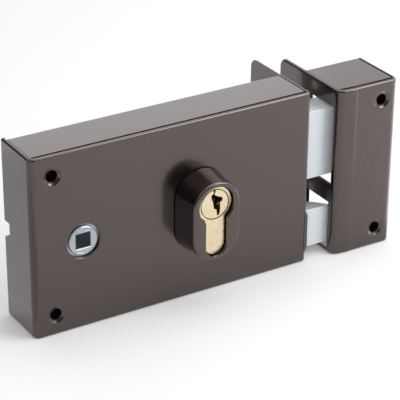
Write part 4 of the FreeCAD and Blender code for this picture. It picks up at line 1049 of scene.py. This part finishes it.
def plug(name, end, outward):
    shoulder = end - outward * PLUG_FACE_THICK
    groove = CAM_Y + outward * GROOVE_FROM_CAM
    outer, inner = groove + outward * GROOVE_HALF, groove - outward * GROOVE_HALF
    tail = CAM_Y + outward * PLUG_END
    rings = [
        (end, PLUG_FACE - PLUG_CHAMFER), (end - outward * PLUG_CHAMFER, PLUG_FACE),
        (shoulder, PLUG_FACE), (shoulder, PLUG), (outer, PLUG), (outer, GROOVE),
        (inner, GROOVE), (inner, PLUG), (tail, PLUG), (tail, PLUG_TAIL),
        (tail - outward * PLUG_TAIL_LENGTH, PLUG_TAIL),
    ]
    piece = turned(name, AXIS, rings)
    outline = [(-outward * x * MM, z * MM) for x, z in KEYWAY]
    keyway_end = CAM_Y + outward * KEYWAY_FROM_CAM
    combine(piece, drawn_solid("keyway", outline, end + outward * OVERCUT, keyway_end))
    return combine(piece, chambers(end, -outward, -2 * PLUG, KEY_PIN_TOP))


for (end, outward), side, body in zip(ENDS, ("inside_plug", "outside_plug"), ("key_set", "outside_set")):
    finish_piece(plug(side + "_turned", end, outward), body, "brass", side, rounding=0.08 * MM)

# %% [markdown]
# ## Hub for the handle
# The hub, or follower, is one casting: a barrel between the two sheets, a collar that shows in
# the round hole of the cover, an arm that pulls the latch, and a square hole for the spindle. The
# collar's face has a shallow turned step, and the square's edges are broken.

# %% Hub
HUB_SLEEVE = 7.0 * MM
HUB_BARREL = 9.0 * MM
HUB_STEP = 5.9 * MM
HUB_STEP_DEPTH = 0.15 * MM
HUB_END_PLAY = 0.2 * MM
BUSH_FLANGE = 1.2 * MM
SQUARE = 3.5 * MM
SQUARE_BREAK = 0.35 * MM
ARM_HALF = 2.6 * MM
ARM_Y = (-19.2 * MM, -13.2 * MM)

hub_low, hub_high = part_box("follower")
face_y = hub_low.y
barrel_y0 = FRONT + SHEET + HUB_END_PLAY
barrel_y1 = -SHEET - BUSH_FLANGE - HUB_END_PLAY
hub_piece = turned("spindle_hub", hub, [
    (face_y + HUB_STEP_DEPTH, HUB_STEP - HUB_STEP_DEPTH), (face_y, HUB_STEP),
    (face_y, HUB_SLEEVE - HUB_LIP), (face_y + HUB_LIP, HUB_SLEEVE), (barrel_y0, HUB_SLEEVE),
    (barrel_y0, HUB_BARREL), (barrel_y1, HUB_BARREL), (barrel_y1, HUB_SLEEVE),
    (hub_high.y, HUB_SLEEVE),
])
arm = start_box("arm", (hub[0] - ARM_HALF, ARM_Y[0], hub_low.z), (hub[0] + ARM_HALF, ARM_Y[1], hub[2]))
combine(hub_piece, arm, "UNION")
square = start_box("square", (hub[0] - SQUARE, face_y + HUB_STEP_DEPTH, hub[2] - SQUARE),
                   (hub[0] + SQUARE, OVERCUT, hub[2] + SQUARE))
choose(square, "FACE", facing(-REAR))
bpy.ops.transform.translate(value=(0, SQUARE_BREAK, 0))
push((0, -SQUARE_BREAK - OVERCUT, 0))
grow = 1 + (SQUARE_BREAK + OVERCUT) / SQUARE
bpy.ops.transform.resize(value=(grow, 1, grow), center_override=(hub[0], 0, hub[2]))
done()
combine(hub_piece, square)
finish_piece(hub_piece, "follower_set", "cast_zinc", "follower", rounding=0.1 * MM)

# %% [markdown]
# ## Bolts
# Both bolts are lengths of drawn bar. The deadbolt ends square with softened edges. The latch has
# a slope on the side where the door closes, made here by one very wide bevel of the edge at its
# tip, and so keeps only a narrow nose. Both have a pocket at the rear for the plate or bar that
# moves them.

# %% Deadbolt
BOLT_EDGE = 0.6 * MM
TAIL_POCKET = 12.0 * MM
TAIL_THICK = 4.0 * MM
TAIL_RIVET = 2.05 * MM
TAIL_RIVET_DEPTH = 5.0 * MM
TAIL_RIVET_INSET = 3.2 * MM
dead_low, dead_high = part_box("deadbolt")
tail_low_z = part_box("deadbolt_tail")[0].z
tail_y0 = dead_high.y - TAIL_THICK

bolt = start_box("deadbolt_bar", dead_low, dead_high)
round_edges(bolt, BOLT_EDGE, EDGE_STEPS, at(x=dead_high.x))
combine(bolt, start_box("pocket", (dead_low.x - OVERCUT, tail_y0, tail_low_z),
                        (dead_low.x + TAIL_POCKET, dead_high.y + OVERCUT, dead_high.z + OVERCUT)))
rivet_x = dead_low.x + TAIL_POCKET / 2
cut_all(bolt, [drilled((rivet_x, 0, z), TAIL_RIVET, tail_y0 - TAIL_RIVET_DEPTH, dead_high.y + OVERCUT)
               for z in (tail_low_z + TAIL_RIVET_INSET, dead_high.z - TAIL_RIVET_INSET)])
finish_piece(bolt, "deadbolt_set", "plated_bolt", "deadbolt", rounding=0.3 * MM, segments=3)

# %% Latch
LATCH_NOSE = 0.8 * MM
BAR_HALF = 2.55 * MM
BAR_POCKET = 8.0 * MM
LATCH_PIN = 1.05 * MM
LATCH_PIN_END = 5.0 * MM
latch_low, latch_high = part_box("latch_bolt")
bar_low, bar_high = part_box("latch_tail")
bar_y = (bar_low.y + bar_high.y) / 2
bar_z = bar_low.z + BAR_HALF

latch = start_box("latch_bar", latch_low, latch_high)
slope = latch_high.y - latch_low.y - LATCH_NOSE
round_edges(latch, slope, 1, at(x=latch_high.x, y=latch_high.y))
combine(latch, start_box("pocket", (latch_low.x - OVERCUT, bar_y - BAR_HALF, bar_z - BAR_HALF),
                         (latch_low.x + BAR_POCKET, bar_y + BAR_HALF, bar_z + BAR_HALF)))
combine(latch, drilled((latch_low.x + BAR_POCKET / 2, bar_y, 0), LATCH_PIN,
                       latch_low.z + LATCH_PIN_END, latch_high.z + OVERCUT, "Z", PIN_SIDES))
finish_piece(latch, "latch_set", "plated_bolt", "latch_bolt", rounding=0.3 * MM, segments=3)

# %% [markdown]
# ## Keeper
# The keeper is made like the case, from two bent sheets, but its front has a soft crease: the
# strip beside the bolts leans back by less than a millimetre and is crowned a little, so that it
# meets the flat part in a shallow hollow. Before it is bent, the front is bisected along several
# lines beside the crease, and each line is then moved to where the crown puts it. An opening is
# given by how far behind the front it starts, and by its two ends above the keeper's bottom.

# %% Keeper cover
KEEPER_CREASE = 10.3 * MM
KEEPER_SLOPE = 0.8 * MM
KEEPER_CROWN = 2.8 * MM
CROWN_SHARES = (0, 0.38, 0.60, 0.74, 0.84, 0.91, 0.96)
KEEPER_BEND = 3.5 * MM
KEEPER_CORNER = 4.5 * MM
OPENING_BACK = -6.5 * MM
OPENING_PAST = 0.3 * MM
OPENINGS = ((4.3 * MM, 35.7 * MM, 75.0 * MM), (5.6 * MM, 2.5 * MM, 26.3 * MM))
KEEPER_RIVET = 1.55 * MM
keeper_low, keeper_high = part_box("keeper_cover")
KEEPER_X, KEEPER_END = keeper_low.x, keeper_high.x
KEEPER_FRONT = keeper_low.y


def bisect_at_x(piece, x):
    edit_all(piece, bpy.ops.mesh.bisect, plane_co=(x, 0, 0), plane_no=RIGHT)


keeper = open_sheet("keeper_cover_shell", keeper_low, (KEEPER_END, 0, keeper_high.z),
                    KEEPER_X, keeper_high.y)
for share in (*CROWN_SHARES[1:], 1):
    bisect_at_x(keeper, KEEPER_X + KEEPER_CREASE * share)
for share in CROWN_SHARES:
    lean = (KEEPER_SLOPE - KEEPER_CROWN * share ** 3) * (1 - share)
    edit(keeper, "EDGE", at(x=KEEPER_X + KEEPER_CREASE * share, y=KEEPER_FRONT),
         bpy.ops.transform.translate, value=(0, lean, 0))
for x, width in ((KEEPER_X, KEEPER_BEND), (KEEPER_END, BEND)):
    round_edges(keeper, width, BEND_STEPS, lambda a, b: at(x=x)(a, b)
                and max(a.y, b.y) < KEEPER_FRONT + 2 * KEEPER_SLOPE)
round_tail(keeper, keeper_high.y, KEEPER_CORNER)
on_keeper_skin = give_thickness(keeper)
round_rim(keeper, on_keeper_skin, keeper_high.y - KEEPER_CORNER)
cut_all(keeper, [
    start_box("opening", (KEEPER_X - OVERCUT, KEEPER_FRONT + front, keeper_low.z + low),
              (KEEPER_X + SHEET + OPENING_PAST, OPENING_BACK, keeper_low.z + high))
    for front, low, high in OPENINGS])
cut_all(keeper, [dimpled_hole(place, KEEPER_FRONT) for place in hole_pair("keeper_front_holes")])
cut_all(keeper, [sunk_hole(place, KEEPER_X, -1, EDGE_HOLE, EDGE_HEAD, EDGE_SINK)
                 for place in hole_pair("keeper_plate_holes")])
rivets_low, rivets_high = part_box("keeper_rivets")
rivet_head = (rivets_high.y - rivets_low.y) / 2
rivet_places = [(0, rivets_low.y + rivet_head, z)
                for z in (rivets_low.z + rivet_head, rivets_high.z - rivet_head)]
cut_all(keeper, [drilled(place, KEEPER_RIVET, KEEPER_END - THROUGH, KEEPER_END + OVERCUT, "X")
                 for place in rivet_places])
finish_piece(keeper, "keeper_set", "brown_paint", "keeper_cover", rounding=0.2 * MM)

# %% [markdown]
# The keeper's second sheet is its top, its right wall and its bottom in one. Its front edge
# follows the leaning strip of the cover, a seam's width behind it as on the case, and a small step
# clears the inside of the cover's bend. Its own bends are narrower than the sheet is thick, and a
# bend that tight would turn its inner side over, so only the outside is rounded, afterwards.

# %% Keeper insert
INSERT_BEND = 0.8 * MM
insert_low, insert_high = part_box("keeper_insert")
insert_low.y += SEAM
insert = open_box("keeper_lining", insert_low, insert_high, -RIGHT, REAR, -REAR)
bisect_at_x(insert, KEEPER_X + KEEPER_CREASE)
for z in (insert_low.z, insert_high.z):
    edit(insert, "EDGE", at(x=insert_low.x, z=z), bpy.ops.transform.resize,
         value=(1, 1 - KEEPER_SLOPE / (insert_high.y - insert_low.y), 1),
         center_override=(0, insert_high.y, 0))
give_thickness(insert)
round_edges(insert, INSERT_BEND, EDGE_STEPS,
            lambda a, b: at(x=insert_high.x)(a, b) and same(a.z, b.z))
combine(insert, start_box(
    "bend_room", (insert_high.x - OVERCUT, insert_low.y - OVERCUT, BOTTOM - OVERCUT),
    (insert_high.x + OVERCUT, KEEPER_FRONT + BEND + RUNNING, TOP)))
cut_all(insert, [drilled(place, KEEPER_RIVET, insert_high.x - THROUGH, insert_high.x + OVERCUT, "X")
                 for place in rivet_places])
finish_piece(insert, "keeper_set", "brown_paint", "keeper_insert")
